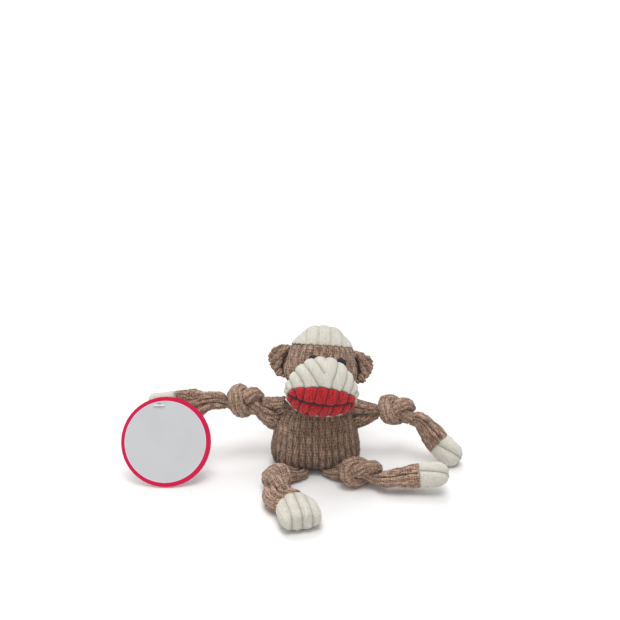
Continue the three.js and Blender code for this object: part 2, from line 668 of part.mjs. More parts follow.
/** Round tag that hangs from a pin in the hand and leans back where it would reach the floor. */
function tag(pinPlace, handRoom) {
  const card = new THREE.CylinderGeometry(TAG_RADIUS, TAG_RADIUS, TAG_THICKNESS, TAG_SIDES);
  const reach = TAG_RADIUS - TAG_HOLE_INSET;
  const lift = Math.sqrt(reach ** 2 - TAG_HOLE_ASIDE ** 2);
  const below = Math.hypot(lift + TAG_RADIUS, TAG_THICKNESS / 2);
  const edgeTurn = Math.atan2(TAG_THICKNESS / 2, lift + TAG_RADIUS);
  const lean = edgeTurn + Math.acos(Math.min(1, (pinPlace.z - TAG_FLOOR_GAP) / below));
  const group = new THREE.Group();
  group.rotation.set(-lean, 0, 0);
  group.position.copy(pinPlace).sub(point(-TAG_HOLE_ASIDE, 0, lift).applyEuler(group.rotation));
  const hole = barrel(TAG_HOLE_RADIUS, -CUT_REACH, CUT_REACH, lift).translate([-TAG_HOLE_ASIDE, 0, 0]);
  const front = -TAG_THICKNESS / 2 - SEAM_GAP;
  const pin = barrel(FASTENER_RADIUS, front - FASTENER_RADIUS, PIN_REACH, lift);
  const bar = new THREE.CapsuleGeometry(FASTENER_RADIUS, FASTENER_BAR_LENGTH, ROUND_STEPS, KNOT_SIDES);
  bar.rotateZ(Math.PI / 2);
  bar.translate(0, front - FASTENER_RADIUS, lift);
  group.updateMatrix();
  const fastener = pin.add(solid(bar)).translate([-TAG_HOLE_ASIDE, 0, 0]).transform(group.matrix.elements);
  group.add(piece('tag_card', solid(card).subtract(hole), COLOURS.card, PLASTIC_ROUGHNESS_SHARE));
  const held = fastener.subtract(handRoom);
  return [group, piece('tag_fastener', held, COLOURS.clear, PLASTIC_ROUGHNESS_SHARE)];
}

const handSizes = { halfWidth: HAND_HALF_WIDTH, halfThickness: HAND_HALF_THICKNESS };
const rightFootSizes = { halfWidth: RIGHT_FOOT_HALF_WIDTH, halfThickness: RIGHT_FOOT_HALF_THICKNESS };
const leftFootSizes = { halfWidth: LEFT_FOOT_HALF_WIDTH, halfThickness: LEFT_FOOT_HALF_THICKNESS };
const rightArm = limb(
  { upper: 'right_upper_arm', knot: 'right_arm_knot', lower: 'right_forearm', paw: 'right_hand' },
  armRoot(-1),
  { bearingDeg: 197, climbDeg: 30, length: RIGHT_UPPER_ARM_LENGTH, swell: UPPER_ARM_SWELL },
  { bearingDeg: 188, climbDeg: 20, strand: RIGHT_ARM_STRAND, bulkTurnDeg: -25 },
  { bearingDeg: 182, climbDeg: -1, length: RIGHT_FOREARM_LENGTH, swell: LOWER_SWELL },
  { bearingDeg: 182, climbDeg: -10, length: RIGHT_HAND_LENGTH, ...handSizes },
);
const leftArm = limb(
  { upper: 'left_upper_arm', knot: 'left_arm_knot', lower: 'left_forearm', paw: 'left_hand' },
  armRoot(1),
  { bearingDeg: -12, climbDeg: 30, length: LEFT_UPPER_ARM_LENGTH, swell: UPPER_ARM_SWELL },
  { bearingDeg: -5, climbDeg: -14, strand: STRAND, bulkTurnDeg: 30 },
  { bearingDeg: -12, climbDeg: -42, length: LEFT_FOREARM_LENGTH, swell: LOWER_SWELL },
  { bearingDeg: -30, climbDeg: -34, length: LEFT_HAND_LENGTH, ...handSizes },
);
const leftLeg = limb(
  { upper: 'left_thigh', knot: 'left_leg_knot', lower: 'left_shin', paw: 'left_foot' },
  legRoot(1),
  { bearingDeg: -48, climbDeg: -4, length: LEFT_THIGH_LENGTH, swell: THIGH_SWELL },
  { bearingDeg: -22, climbDeg: 0, strand: STRAND, bulkTurnDeg: 0 },
  { bearingDeg: -2, climbDeg: 9, length: LEFT_SHIN_LENGTH, swell: LOWER_SWELL },
  { bearingDeg: 2, climbDeg: 9, length: LEFT_FOOT_LENGTH, ...leftFootSizes },
);
const rightLeg = limb(
  { upper: 'right_thigh', knot: 'right_leg_knot', lower: 'right_shin', paw: 'right_foot' },
  legRoot(-1),
  { bearingDeg: 222, climbDeg: -3, length: RIGHT_THIGH_LENGTH, swell: THIGH_SWELL },
  { bearingDeg: 255, climbDeg: 0, strand: STRAND, bulkTurnDeg: 15 },
  { bearingDeg: 318, climbDeg: 4, length: RIGHT_SHIN_LENGTH, swell: LOWER_SWELL },
  { bearingDeg: 312, climbDeg: 0, length: RIGHT_FOOT_LENGTH, ...rightFootSizes },
);

const doll = new THREE.Group();
doll.add(...torso(), head(), ...tag(rightArm.pin, rightArm.pawRoom));
for (const each of [rightArm, leftArm, rightLeg, leftLeg]) doll.add(...each.pieces);

export default doll;
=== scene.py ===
"""Sock monkey doll: corduroy cloth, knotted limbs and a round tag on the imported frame."""

import logging
import math
from dataclasses import dataclass, field
from enum import Enum
from typing import Callable, Sequence

import bmesh
import bpy
import numpy as np
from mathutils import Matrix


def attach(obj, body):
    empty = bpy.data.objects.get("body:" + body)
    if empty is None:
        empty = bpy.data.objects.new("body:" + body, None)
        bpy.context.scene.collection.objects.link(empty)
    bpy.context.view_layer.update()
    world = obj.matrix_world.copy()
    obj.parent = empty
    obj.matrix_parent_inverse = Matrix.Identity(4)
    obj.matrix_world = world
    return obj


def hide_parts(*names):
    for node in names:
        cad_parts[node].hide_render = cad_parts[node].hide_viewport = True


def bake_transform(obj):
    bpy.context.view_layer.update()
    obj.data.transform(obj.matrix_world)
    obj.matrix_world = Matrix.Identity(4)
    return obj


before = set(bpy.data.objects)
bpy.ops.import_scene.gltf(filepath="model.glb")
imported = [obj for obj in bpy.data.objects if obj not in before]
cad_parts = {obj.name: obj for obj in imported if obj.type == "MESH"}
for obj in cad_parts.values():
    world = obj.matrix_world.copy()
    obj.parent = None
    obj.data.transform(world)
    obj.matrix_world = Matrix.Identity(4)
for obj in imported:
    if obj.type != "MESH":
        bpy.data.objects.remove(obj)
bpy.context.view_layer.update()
LOG = logging.getLogger("sock_monkey")
Array = np.ndarray
Point = tuple[float, float, float]
Flat = tuple[float, float]

# Lengths in this file are millimetres, and Blender's are metres.
MM = 0.001
# Steps that measure an oval's rim, and steps between two points of a spline.
FINE_TURNS = 4001
SPLINE_STEPS = 32
# Depth to width of the section whose rim is shared out evenly among a tube's columns.
SECTION_DEPTH = 0.75


class Slot(Enum):
    """Material slots of the record."""

    BROWN = "brown_corduroy"
    CREAM = "cream_corduroy"
    RED = "red_corduroy"
    BLACK = "black_thread"
    FILL = "polyester_fill"
    SQUEAKER = "squeaker_plastic"
    CARD = "tag_card"
    CLEAR = "clear_plastic"


# ---------------------------------------------------------------- numbers in space


def vec(across: float, back: float, up: float) -> Array:
    """A point or direction: across to the viewer's right, back and up, in millimetres."""
    return np.array([across, back, up], float)


def unit(vectors: Array) -> Array:
    """The same directions, each of length one, along the last axis."""
    return vectors / np.maximum(np.linalg.norm(vectors, axis=-1, keepdims=True), 1e-12)


def fullness(along: Array, roundness: float) -> Array:
    """Share of its full size that a form keeps at places from minus one to one; two is round."""
    return np.maximum(1 - np.abs(along) ** roundness, 0) ** (1 / roundness)


def smooth(share: Array) -> Array:
    """Eases a share from nought to one."""
    held = np.clip(share, 0, 1)
    return held * held * (3 - 2 * held)


def steps(path: Array) -> Array:
    """Length of each step from one row of points to the next."""
    return np.linalg.norm(np.diff(path, axis=0), axis=-1)


def walk(lengths: Array) -> Array:
    """Distance walked at each point, from the lengths of the steps between them."""
    return np.append(0, np.cumsum(lengths))


def pole_to_pole(rows: int) -> Array:
    """Places from minus one to one, closer together towards both poles."""
    return -np.cos(np.pi * (np.arange(rows) + 0.5) / rows)[:, None]


def hump(places: Array, width: float) -> Array:
    """Bell-shaped hump, one at nought and soon nought beyond its width."""
    return np.exp(-((places / width) ** 2))


def oval(turns: Array, roundness: float) -> tuple[Array, Array]:
    """Points of a rounded box outline one across and one deep.

    Args:
        turns: Angles in radians.
        roundness: Power of the outline.

    Returns:
        Across and back places from minus one to one.
    """
    power = 2 / roundness
    cos, sin = np.cos(turns), np.sin(turns)
    return np.sign(cos) * np.abs(cos) ** power, np.sign(sin) * np.abs(sin) ** power


def even_turns(count: int, width: float, depth: float, roundness: float) -> Array:
    """Angles whose points lie evenly round an oval.

    Args:
        count: Number of points.
        width: Half width.
        depth: Half depth.
        roundness: Power of the outline.

    Returns:
        The angles, from nought, in radians.
    """
    turns = np.linspace(0, 2 * math.pi, FINE_TURNS)
    across, back = oval(turns, roundness)
    walked = walk(np.hypot(np.diff(across * width), np.diff(back * depth)))
    return np.interp(np.arange(count) / count * walked[-1], walked, turns)


def spline(points: Array, count: int) -> Array:
    """Even points on a smooth curve through a few points.

    Args:
        points: The points that it passes.
        count: Number of points wanted.

    Returns:
        The points on the curve.
    """
    ends = np.vstack([2 * points[0] - points[1], points, 2 * points[-1] - points[-2]])
    knots = walk(np.sqrt(steps(ends)))
    parts = []
    for first in range(len(points) - 1):
        near = ends[first : first + 4]
        at = knots[first : first + 4]
        time = np.linspace(at[1], at[2], SPLINE_STEPS, endpoint=False)[:, None]
        for width in (1, 2, 3):
            joined = []
            for place in range(4 - width):
                low, high = (place, place + width) if width < 3 else (1, 2)
                share = (time - at[low]) / (at[high] - at[low])
                joined.append((1 - share) * near[place] + share * near[place + 1])
            near = joined
        parts.append(near[0])
    fine = np.vstack([*parts, points[-1:]])
    walked = walk(steps(fine))
    wanted = np.linspace(0, walked[-1], count)
    return np.stack([np.interp(wanted, walked, fine[:, axis]) for axis in range(3)], axis=1)


class Noise:
    """Smooth random field in space, the same on every run."""

    SIDE = 32
    SHIFT = 7.3

    def __init__(self, seed: int) -> None:
        """Fills the field's lattice with numbers that the seed picks."""
        shape = (self.SIDE, self.SIDE, self.SIDE)
        self.lattice = np.random.RandomState(seed).uniform(-1, 1, shape)

    def at(self, places: Array, size: float | Sequence[float]) -> Array:
        """Field's value at places.

        Args:
            places: Points, in millimetres.
            size: How large a bump is, in millimetres, or one size per axis.

        Returns:
            Values from minus one to one.
        """
        spot = places / np.asarray(size, float) + self.SHIFT
        low = np.floor(spot).astype(int)
        part = spot - low
        part = part * part * (3 - 2 * part)
        total = np.zeros(places.shape[:-1])
        for corner in range(8):
            bits = np.array([corner & 1, corner >> 1 & 1, corner >> 2 & 1])
            share = np.prod(np.where(bits, part, 1 - part), axis=-1)
            cell = (low + bits) % self.SIDE
            total += share * self.lattice[cell[..., 0], cell[..., 1], cell[..., 2]]
        return total


NOISE = Noise(11)


@dataclass(frozen=True)
class Axes:
    """A place with three directions at right angles, in millimetres."""

    origin: Array
    side: Array
    lift: Array
    way: Array

    @classmethod
    def along(cls, origin: Array, way: Array) -> "Axes":
        """Axes that start at a point and run along a way, with their side level."""
        side = unit(np.cross(vec(0, 0, 1), way))
        return cls(origin, side, np.cross(way, side), way)

    def place(self, across: Array, back: Array, up: Array) -> Array:
        """Points from places along side, way and lift.

        Args:
            across: Places along the side.
            back: Places along the way.
            up: Places along the lift.

        Returns:
            The points.
        """
        parts = np.broadcast_arrays(across, back, up)
        across, back, up = (np.asarray(part)[..., None] for part in parts)
        return self.origin + across * self.side + back * self.way + up * self.lift

    def local(self, points: Array) -> Array:
        """Places of points along side, way and lift, as the last axis."""
        return (points - self.origin) @ np.stack([self.side, self.way, self.lift], axis=1)


# ---------------------------------------------------------------- cloth


@dataclass(frozen=True)
class Weave:
    """Corduroy with raised wales."""

    wale: float
    height: float
    fuzz: float
    crown: float = 2.0

    def rib(self, wales: Array) -> Array:
        """Height of the pile at places counted in wales: nought in a groove, one on a crown."""
        return 1 - np.abs(2 * (wales % 1) - 1) ** self.crown


BROWN_WEAVE = Weave(wale=4.6, height=0.7, fuzz=0.3)
CREAM_WEAVE = Weave(wale=8.4, height=1.8, fuzz=0.08)
CAP_WEAVE = Weave(wale=8.4, height=0.9, fuzz=0.22)
RED_WEAVE = Weave(wale=7.6, height=2.1, fuzz=0.22)
# How much cloth, or thread, goes to one unit of the UV map.
CHART = 8.0
THREAD_CHART = 4.0
# How far a turned-in end runs back, and the share of its pile that is left.
HEM_DEPTH = 2.2
HEM_PILE = 0.4
# How far the cloth lies inside a form before its pile is raised.
CLOTH_INSET = 0.9
# Columns of points to one brown wale.
FINE_COLUMNS = 13
# Least and most that the pile attribute tells the finishes; below nought it carries painted shade,
# above one painted light.
PILE_RANGE = (-1.0, 1.5)


@dataclass
class Skin:
    """Cloth as a grid: rows run along it and columns round or across it."""

    points: Array
    wales: Array
    run: Array
    closed: bool = True
    turn: float = 0.0
    rib: Array = field(init=False)

    def __post_init__(self) -> None:
        """Starts with level pile."""
        self.rib = np.ones(self.points.shape[:2])

    @classmethod
    def round(cls, points: Array, run: Array, wales: int) -> "Skin":
        """Closed skin with its wales evenly round it.

        Args:
            points: Its points.
            run: Distance along it, one number for each row.
            wales: Number of wales.

        Returns:
            The skin.
        """
        rows, cols = points.shape[:2]
        counted = np.broadcast_to(np.arange(cols) / cols * wales, (rows, cols)).copy()
        return cls(points, counted, run[:, None] + 0 * counted, True, wales)

    def normals(self) -> Array:
        """Directions out of the cloth.

        Returns:
            One direction for each point.
        """
        if self.closed:
            across = np.roll(self.points, -1, 1) - np.roll(self.points, 1, 1)
        else:
            across = np.gradient(self.points, axis=1)
        return unit(np.cross(across, np.gradient(self.points, axis=0)))

    def push(self, amount: Array) -> "Skin":
        """Moves the cloth out by an amount at each point, in millimetres."""
        self.points = self.points + self.normals() * amount[..., None]
        return self

    def raise_pile(self, weave: Weave, ends: Array | float = 1.0) -> "Skin":
        """Raises the wales by a share of their height at each point, and roughens them."""
        return self.roughen(weave, weave.rib(self.wales) * ends, (1.1, 0.6))

    def quilt(self, weave: Weave, distance: Array, ends: Array | float = 1.0) -> "Skin":
        """Raises wales between grooves, from the distance to the nearest one at each point."""
        near = 1 - np.clip(distance / (weave.wale * 0.5), 0, 1)
        return self.roughen(weave, np.sqrt(np.maximum(1 - near**weave.crown, 0)) * ends, (1.0, 0.5))

    def roughen(self, weave: Weave, rib: Array, sizes: Flat) -> "Skin":
        """Raises the pile by its rib and gives it a fine grain.

        Args:
            weave: The corduroy.
            rib: How high the pile stands at each point.
            sizes: Sizes of the coarser and the finer grain, in millimetres.

        Returns:
            The skin itself.
        """
        self.rib = rib
        rough = NOISE.at(self.points, sizes[0]) + 0.7 * NOISE.at(self.points + 40, sizes[1])
        return self.push(rib * weave.height + rough * weave.fuzz)

    def hem(self, first: bool, last: bool, inner: float = 0.82) -> "Skin":
        """Turns the ends in, so that the next piece can sit in them.

        Args:
            first: Whether the first row is turned in.
            last: Whether the last row is turned in.
            inner: Share of the end's size that stays open.

        Returns:
            The skin itself.
        """
        for wanted, row, step in ((first, 0, 3), (last, -1, -4)):
            if not wanted:
                continue
            end, before = self.points[row], self.points[step]
            middle, back = end.mean(0), unit(before.mean(0) - end.mean(0))
            opening = middle + (end - middle) * inner
            turned = np.stack([opening + back * HEM_DEPTH, opening + back * HEM_DEPTH / 2, opening])
            joined = (turned, self.points) if row == 0 else (self.points, turned[::-1])
            self.points = np.concatenate(joined)
            for name in ("wales", "run", "rib"):
                grid = getattr(self, name)
                more = np.repeat(grid[row][None], len(turned), 0)
                more = more * (HEM_PILE if name == "rib" else 1.0)
                setattr(self, name, np.concatenate((more, grid) if row == 0 else (grid, more)))
        return self

    def keep_off(self, centre: Array, radius: float) -> "Skin":
        """Pushes the cloth out of a ball.

        Args:
            centre: The ball's middle.
            radius: The ball's radius.

        Returns:
            The skin itself.
        """
        away = self.points - centre
        gap = np.linalg.norm(away, axis=-1, keepdims=True)
        self.points = np.where(gap < radius, centre + unit(away) * radius, self.points)
        return self

    def on_floor(self, least: float = 0.02) -> "Skin":
        """Flattens what would sink below a least height over the floor."""
        self.points[..., 2] = np.maximum(self.points[..., 2], least)
        return self

    def build(
        self,
        name: str,
        wale: float,
        caps: tuple[bool, bool] = (True, True),
        kept: Array | None = None,
    ) -> bpy.types.Object:
        """Makes the mesh, with its UV map and pile attribute.

        Args:
            name: The object's name.
            wale: Width of a wale, which scales the UV map.
            caps: Whether the first and the last row are closed.
            kept: Points whose faces stay, or all.

        Returns:
            The new object.
        """
        rows, cols = self.points.shape[:2]
        count = cols if self.closed else cols - 1
        grid = np.arange(rows * cols).reshape(rows, cols)
        after = np.roll(grid, -1, 1)[:, :count]
        here = grid[:, :count]
        quads = np.stack([here[:-1], after[:-1], after[1:], here[1:]], axis=-1).reshape(-1, 4)
        across = np.concatenate([self.wales, self.wales[:, :1] + self.turn], axis=1)
        down = np.concatenate([self.run, self.run[:, :1]], axis=1) / wale
        corners = []
        for row, col in ((0, 0), (0, 1), (1, 1), (1, 0)):
            part = slice(row, rows - 1 + row), slice(col, count + col)
            corners.append(np.stack([across[part], down[part]], -1))
        coords = np.stack(corners, axis=2).reshape(-1, 4, 2)
        if kept is not None:
            stays = kept.reshape(-1)[quads].any(1)
            quads, coords = quads[stays], coords[stays]
        points = self.points.reshape(-1, 3)
        ribs = self.rib.reshape(-1)
        faces = quads.tolist()
        chart = [coords.reshape(-1, 2)]
        for row, closes in ((0, caps[0]), (-1, caps[1])):
            if not closes or not self.closed:
                continue
            middle = len(points)
            points = np.vstack([points, self.points[row].mean(0)])
            ribs = np.append(ribs, self.rib[row].mean())
            near, far = (after[row], here[row]) if row == 0 else (here[row], after[row])
            faces += np.stack([near, far, np.full(cols, middle)], -1).tolist()
            sides = np.stack([across[row], down[row]], -1)
            first, second = (sides[1:], sides[:-1]) if row == 0 else (sides[:-1], sides[1:])
            chart.append(np.stack([first, second, (first + second) / 2], 1).reshape(-1, 2))
        every = np.concatenate([np.ravel(face) for face in faces])
        used, places = np.unique(every, return_inverse=True)
        sizes = [len(face) for face in faces]
        marks = np.split(places, np.cumsum(sizes)[:-1])
        mesh = bpy.data.meshes.new(name)
        mesh.from_pydata((points[used] * MM).tolist(), [], [mark.tolist() for mark in marks])
        flat = np.vstack(chart).astype(np.float32)
        mesh.uv_layers.new(name="cloth").data.foreach_set("uv", flat.ravel())
        pile = mesh.attributes.new("pile", "FLOAT", "POINT")
        pile.data.foreach_set("value", np.clip(ribs[used], *PILE_RANGE).astype(np.float32))
        mesh.shade_smooth()
        made = bpy.data.objects.new(name, mesh)
        bpy.context.scene.collection.objects.link(made)
        return made


@dataclass(frozen=True)
class Simulation:
    """Cloth simulation of a coarse copy of a skin, blown up and held at its seams."""

    pressure: float = 4.0
    frames: int = 20
    cell: float = 4.5
    scale: float = 0.01
    growth: float = 0.06
    most: float = 1.5

    @staticmethod
    def shares(count: int, coarse: int, closed: bool) -> Array:
        """Weights of smooth interpolation from few places to many.

        Args:
            count: Many.
            coarse: Few.
            closed: Whether the last place is next to the first.

        Returns:
            A matrix of weights.
        """
        spot = np.arange(count) * (coarse / count if closed else (coarse - 1) / (count - 1))
        low = np.floor(spot).astype(int)
        part = spot - low
        weights = np.zeros((count, coarse))
        cubic = (
            (1 - part) ** 3 / 6,
            (3 * part**3 - 6 * part**2 + 4) / 6,
            (-3 * part**3 + 3 * part**2 + 3 * part + 1) / 6,
            part**3 / 6,
        )
        for offset, weight in zip((-1, 0, 1, 2), cubic):
            place = (low + offset) % coarse if closed else np.clip(low + offset, 0, coarse - 1)
            np.add.at(weights, (np.arange(count), place), weight)
        return weights

    def swell(self, skin: Skin) -> Skin:
        """Lets the skin swell and crease as stuffed cloth does, with its end rows sewn down.

        Args:
            skin: The skin, changed in place.

        Returns:
            The skin itself.
        """
        rows, cols = skin.points.shape[:2]
        tall = steps(skin.points).sum(0).mean()
        wide = np.linalg.norm(np.diff(skin.points, axis=1), axis=-1).sum(1).max()
        few_rows = int(max(6, round(tall / self.cell)))
        few_cols = int(max(8, round(wide / self.cell)))
        row_at = np.round(np.linspace(0, rows - 1, few_rows)).astype(int)
        col_at = np.round(np.arange(few_cols) * cols / few_cols).astype(int)
        coarse = skin.points[row_at][:, col_at]
        copy = Skin(coarse, coarse[..., 0], coarse[..., 1], True)
        piece = copy.build("cloth_trial", 1.0, (False, False))
        flat = (coarse.reshape(-1, 3) * self.scale).astype(np.float32)
        piece.data.vertices.foreach_set("co", flat.ravel())
        pins = piece.vertex_groups.new(name="sewn")
        order = np.arange(few_rows * few_cols).reshape(few_rows, few_cols)
        sewn = np.concatenate([order[0], order[-1]])
        pins.add(sewn.tolist(), 1.0, "REPLACE")
        cloth = piece.modifiers.new("cloth", "CLOTH")
        cloth.settings.vertex_group_mass = "sewn"
        cloth.settings.use_pressure = True
        cloth.settings.uniform_pressure_force = self.pressure
        cloth.settings.shrink_min = -self.growth
        cloth.settings.effector_weights.gravity = 0
        cloth.point_cache.frame_start = 1
        cloth.point_cache.frame_end = self.frames
        for step in range(1, self.frames + 1):
            bpy.context.scene.frame_set(step)
        seen = piece.evaluated_get(bpy.context.evaluated_depsgraph_get())
        after = np.empty(len(flat) * 3, np.float32)
        seen.data.vertices.foreach_get("co", after)
        moved = (after.reshape(-1, 3) - flat) / self.scale
        length = np.linalg.norm(moved, axis=1, keepdims=True)
        moved = moved * (self.most * np.tanh(length / self.most) / np.maximum(length, 1e-9))
        bpy.data.objects.remove(piece)
        bpy.context.scene.frame_set(1)
        field_rows = self.shares(rows, few_rows, False)
        field_cols = self.shares(cols, few_cols, True)
        grid = moved.reshape(few_rows, few_cols, 3)
        skin.points = skin.points + np.einsum("ri,ijk,cj->rck", field_rows, grid, field_cols)
        return skin


SIMULATION = Simulation()


def cut(piece: bpy.types.Object, place: Array, facing: Array) -> None:
    """Cuts a piece by a plane and drops what lies beyond it.

    Args:
        piece: The mesh object.
        place: A point on the plane, in millimetres.
        facing: The side that is dropped.
    """
    work = bmesh.new()
    work.from_mesh(piece.data)
    parts = [*work.verts, *work.edges, *work.faces]
    where = [value * MM for value in place]
    bmesh.ops.bisect_plane(work, geom=parts, plane_co=where, plane_no=facing, clear_outer=True)
    work.to_mesh(piece.data)
    work.free()


def thicken(piece: bpy.types.Object, thickness: float) -> None:
    """Gives an open skin its thickness, inwards.

    Args:
        piece: The mesh object.
        thickness: In millimetres.
    """
    bpy.ops.object.select_all(action="DESELECT")
    bpy.context.view_layer.objects.active = piece
    piece.select_set(True)
    wall = piece.modifiers.new("wall", "SOLIDIFY")
    wall.thickness = thickness * MM
    wall.offset = -1
    bpy.ops.object.modifier_apply(modifier=wall.name)
    piece.select_set(False)


def tube_grid(path: Array, halves: Array, roundness: float, cols: int, roll: float = 0.0) -> Array:
    """Grid of points round a path.

    Args:
        path: Points along the middle.
        halves: Half width and half height at each point.
        roundness: Power of the section's outline.
        cols: Points round each section.
        roll: Turn of the section about the path, in degrees.

    Returns:
        Points, one row for each point of the path.
    """
    way = unit(np.gradient(path, axis=0))
    side = unit(np.cross(vec(0, 0, 1), way))
    lift = np.cross(way, side)
    turn = math.radians(roll)
    wide = side * math.cos(turn) + lift * math.sin(turn)
    high = lift * math.cos(turn) - side * math.sin(turn)
    across, up = oval(even_turns(cols, 1, SECTION_DEPTH, roundness), roundness)
    flat = wide[:, None] * (across * halves[:, :1])[..., None]
    return path[:, None] + flat + high[:, None] * (up * halves[:, 1:])[..., None]


def groove_distance(places: Array, grooves: Sequence[Sequence[Flat]]) -> Array:
    """Distance to the nearest of some drawn grooves.

    Args:
        places: Flat places on the cloth, in millimetres.
        grooves: Each groove as the corners of a line.

    Returns:
        Millimetres to the nearest groove.
    """
    best = np.full(places.shape[:-1], 1e6)
    for groove in grooves:
        corners = np.array(groove, float)
        for start, end in zip(corners[:-1], corners[1:]):
            line = end - start
            share = np.clip(((places - start) @ line) / (line @ line), 0, 1)
            foot = start + share[..., None] * line
            best = np.minimum(best, np.linalg.norm(places - foot, axis=-1))
    return best


# ---------------------------------------------------------------- finishes


class Wire:
    """A shader value that takes part in sums."""

    def __init__(self, tree: bpy.types.NodeTree, socket: bpy.types.NodeSocket) -> None:
        """Holds an output socket of a node tree."""
        self.tree = tree
        self.socket = socket

    def _sum(self, operation: str, first: "Wire | float", second: "Wire | float") -> "Wire":
        """Adds one Math node.

        Args:
            operation: What the node does.
            first: Its first value.
            second: Its second value.

        Returns:
            The node's output.
        """
        node = self.tree.nodes.new("ShaderNodeMath")
        node.operation = operation
        for place, value in enumerate((first, second)):
            if isinstance(value, Wire):
                self.tree.links.new(value.socket, node.inputs[place])
            else:
                node.inputs[place].default_value = value
        return Wire(self.tree, node.outputs[0])

    def __add__(self, other: "Wire | float") -> "Wire":
        """Sum."""
        return self._sum("ADD", self, other)

    def __radd__(self, other: float) -> "Wire":
        """Sum, reflected."""
        return self._sum("ADD", other, self)

    def __sub__(self, other: "Wire | float") -> "Wire":
        """Difference."""
        return self._sum("SUBTRACT", self, other)

    def __rsub__(self, other: float) -> "Wire":
        """Difference, reflected."""
        return self._sum("SUBTRACT", other, self)

    def __mul__(self, other: "Wire | float") -> "Wire":
        """Product."""
        return self._sum("MULTIPLY", self, other)

    def __rmul__(self, other: float) -> "Wire":
        """Product, reflected."""
        return self._sum("MULTIPLY", other, self)

    def __pow__(self, other: float) -> "Wire":
        """Power."""
        return self._sum("POWER", self, other)

    def sin(self) -> "Wire":
        """Sine."""
        return self._sum("SINE", self, 0.0)

    def at_most(self, other: "Wire | float") -> "Wire":
        """Lesser value."""
        return self._sum("MINIMUM", self, other)

    def at_least(self, other: "Wire | float") -> "Wire":
        """Greater value."""
        return self._sum("MAXIMUM", self, other)

    def held(self) -> "Wire":
        """Value held between nought and one."""
        return self.at_most(1.0).at_least(0.0)


Value = Wire | float | tuple[float, ...]


class Finish:
    """A material under construction, with one principled shader."""

    def __init__(self, name: str) -> None:
        """Starts an empty material.

        Args:
            name: The material's name.
        """
        self.material = bpy.data.materials.new(name)
        self.material.use_nodes = True
        self.tree = self.material.node_tree
        self.shader = self.tree.nodes["Principled BSDF"]

    def node(
        self, kind: str, settings: dict[str, object], output: str | int, **values: Value
    ) -> Wire:
        """Adds any node.

        Args:
            kind: The node's type, without its ShaderNode prefix.
            settings: Properties that are set first.
            output: The output that is wanted.
            **values: Values or links for inputs, by number after an underscore or by name,
                with underscores for spaces.

        Returns:
            The wanted output.
        """
        node = self.tree.nodes.new("ShaderNode" + kind)
        for key, value in settings.items():
            setattr(node, key, value)
        for key, value in values.items():
            place = int(key[1:]) if key[1:].isdigit() else key.replace("_", " ")
            self.feed(node.inputs[place], value)
        return Wire(self.tree, node.outputs[output])

    def feed(self, socket: bpy.types.NodeSocket, value: Value) -> None:
        """Gives an input its value or link.

        Args:
            socket: The input.
            value: A number, numbers or a wire.
        """
        if isinstance(value, Wire):
            self.tree.links.new(value.socket, socket)
        else:
            socket.default_value = value

    def mix(self, share: Value, first: Value, second: Value) -> Wire:
        """Mixes a share of the second colour into the first."""
        return self.node("Mix", {"data_type": "RGBA"}, 2, _0=share, _6=first, _7=second)

    def set(self, **values: Value) -> None:
        """Sets inputs of the principled shader; an underscore stands for a space."""
        for key, value in values.items():
            self.feed(self.shader.inputs[key.replace("_", " ")], value)


def colour(red: int, green: int, blue: int) -> tuple[float, float, float, float]:
    """Linear colour from screen values.

    Args:
        red: From 0 to 255.
        green: From 0 to 255.
        blue: From 0 to 255.

    Returns:
        Red, green, blue and alpha for a socket.
    """
    parts = []
    for value in (red, green, blue):
        share = value / 255
        parts.append(share / 12.92 if share <= 0.04045 else ((share + 0.055) / 1.055) ** 2.4)
    return (*parts, 1.0)


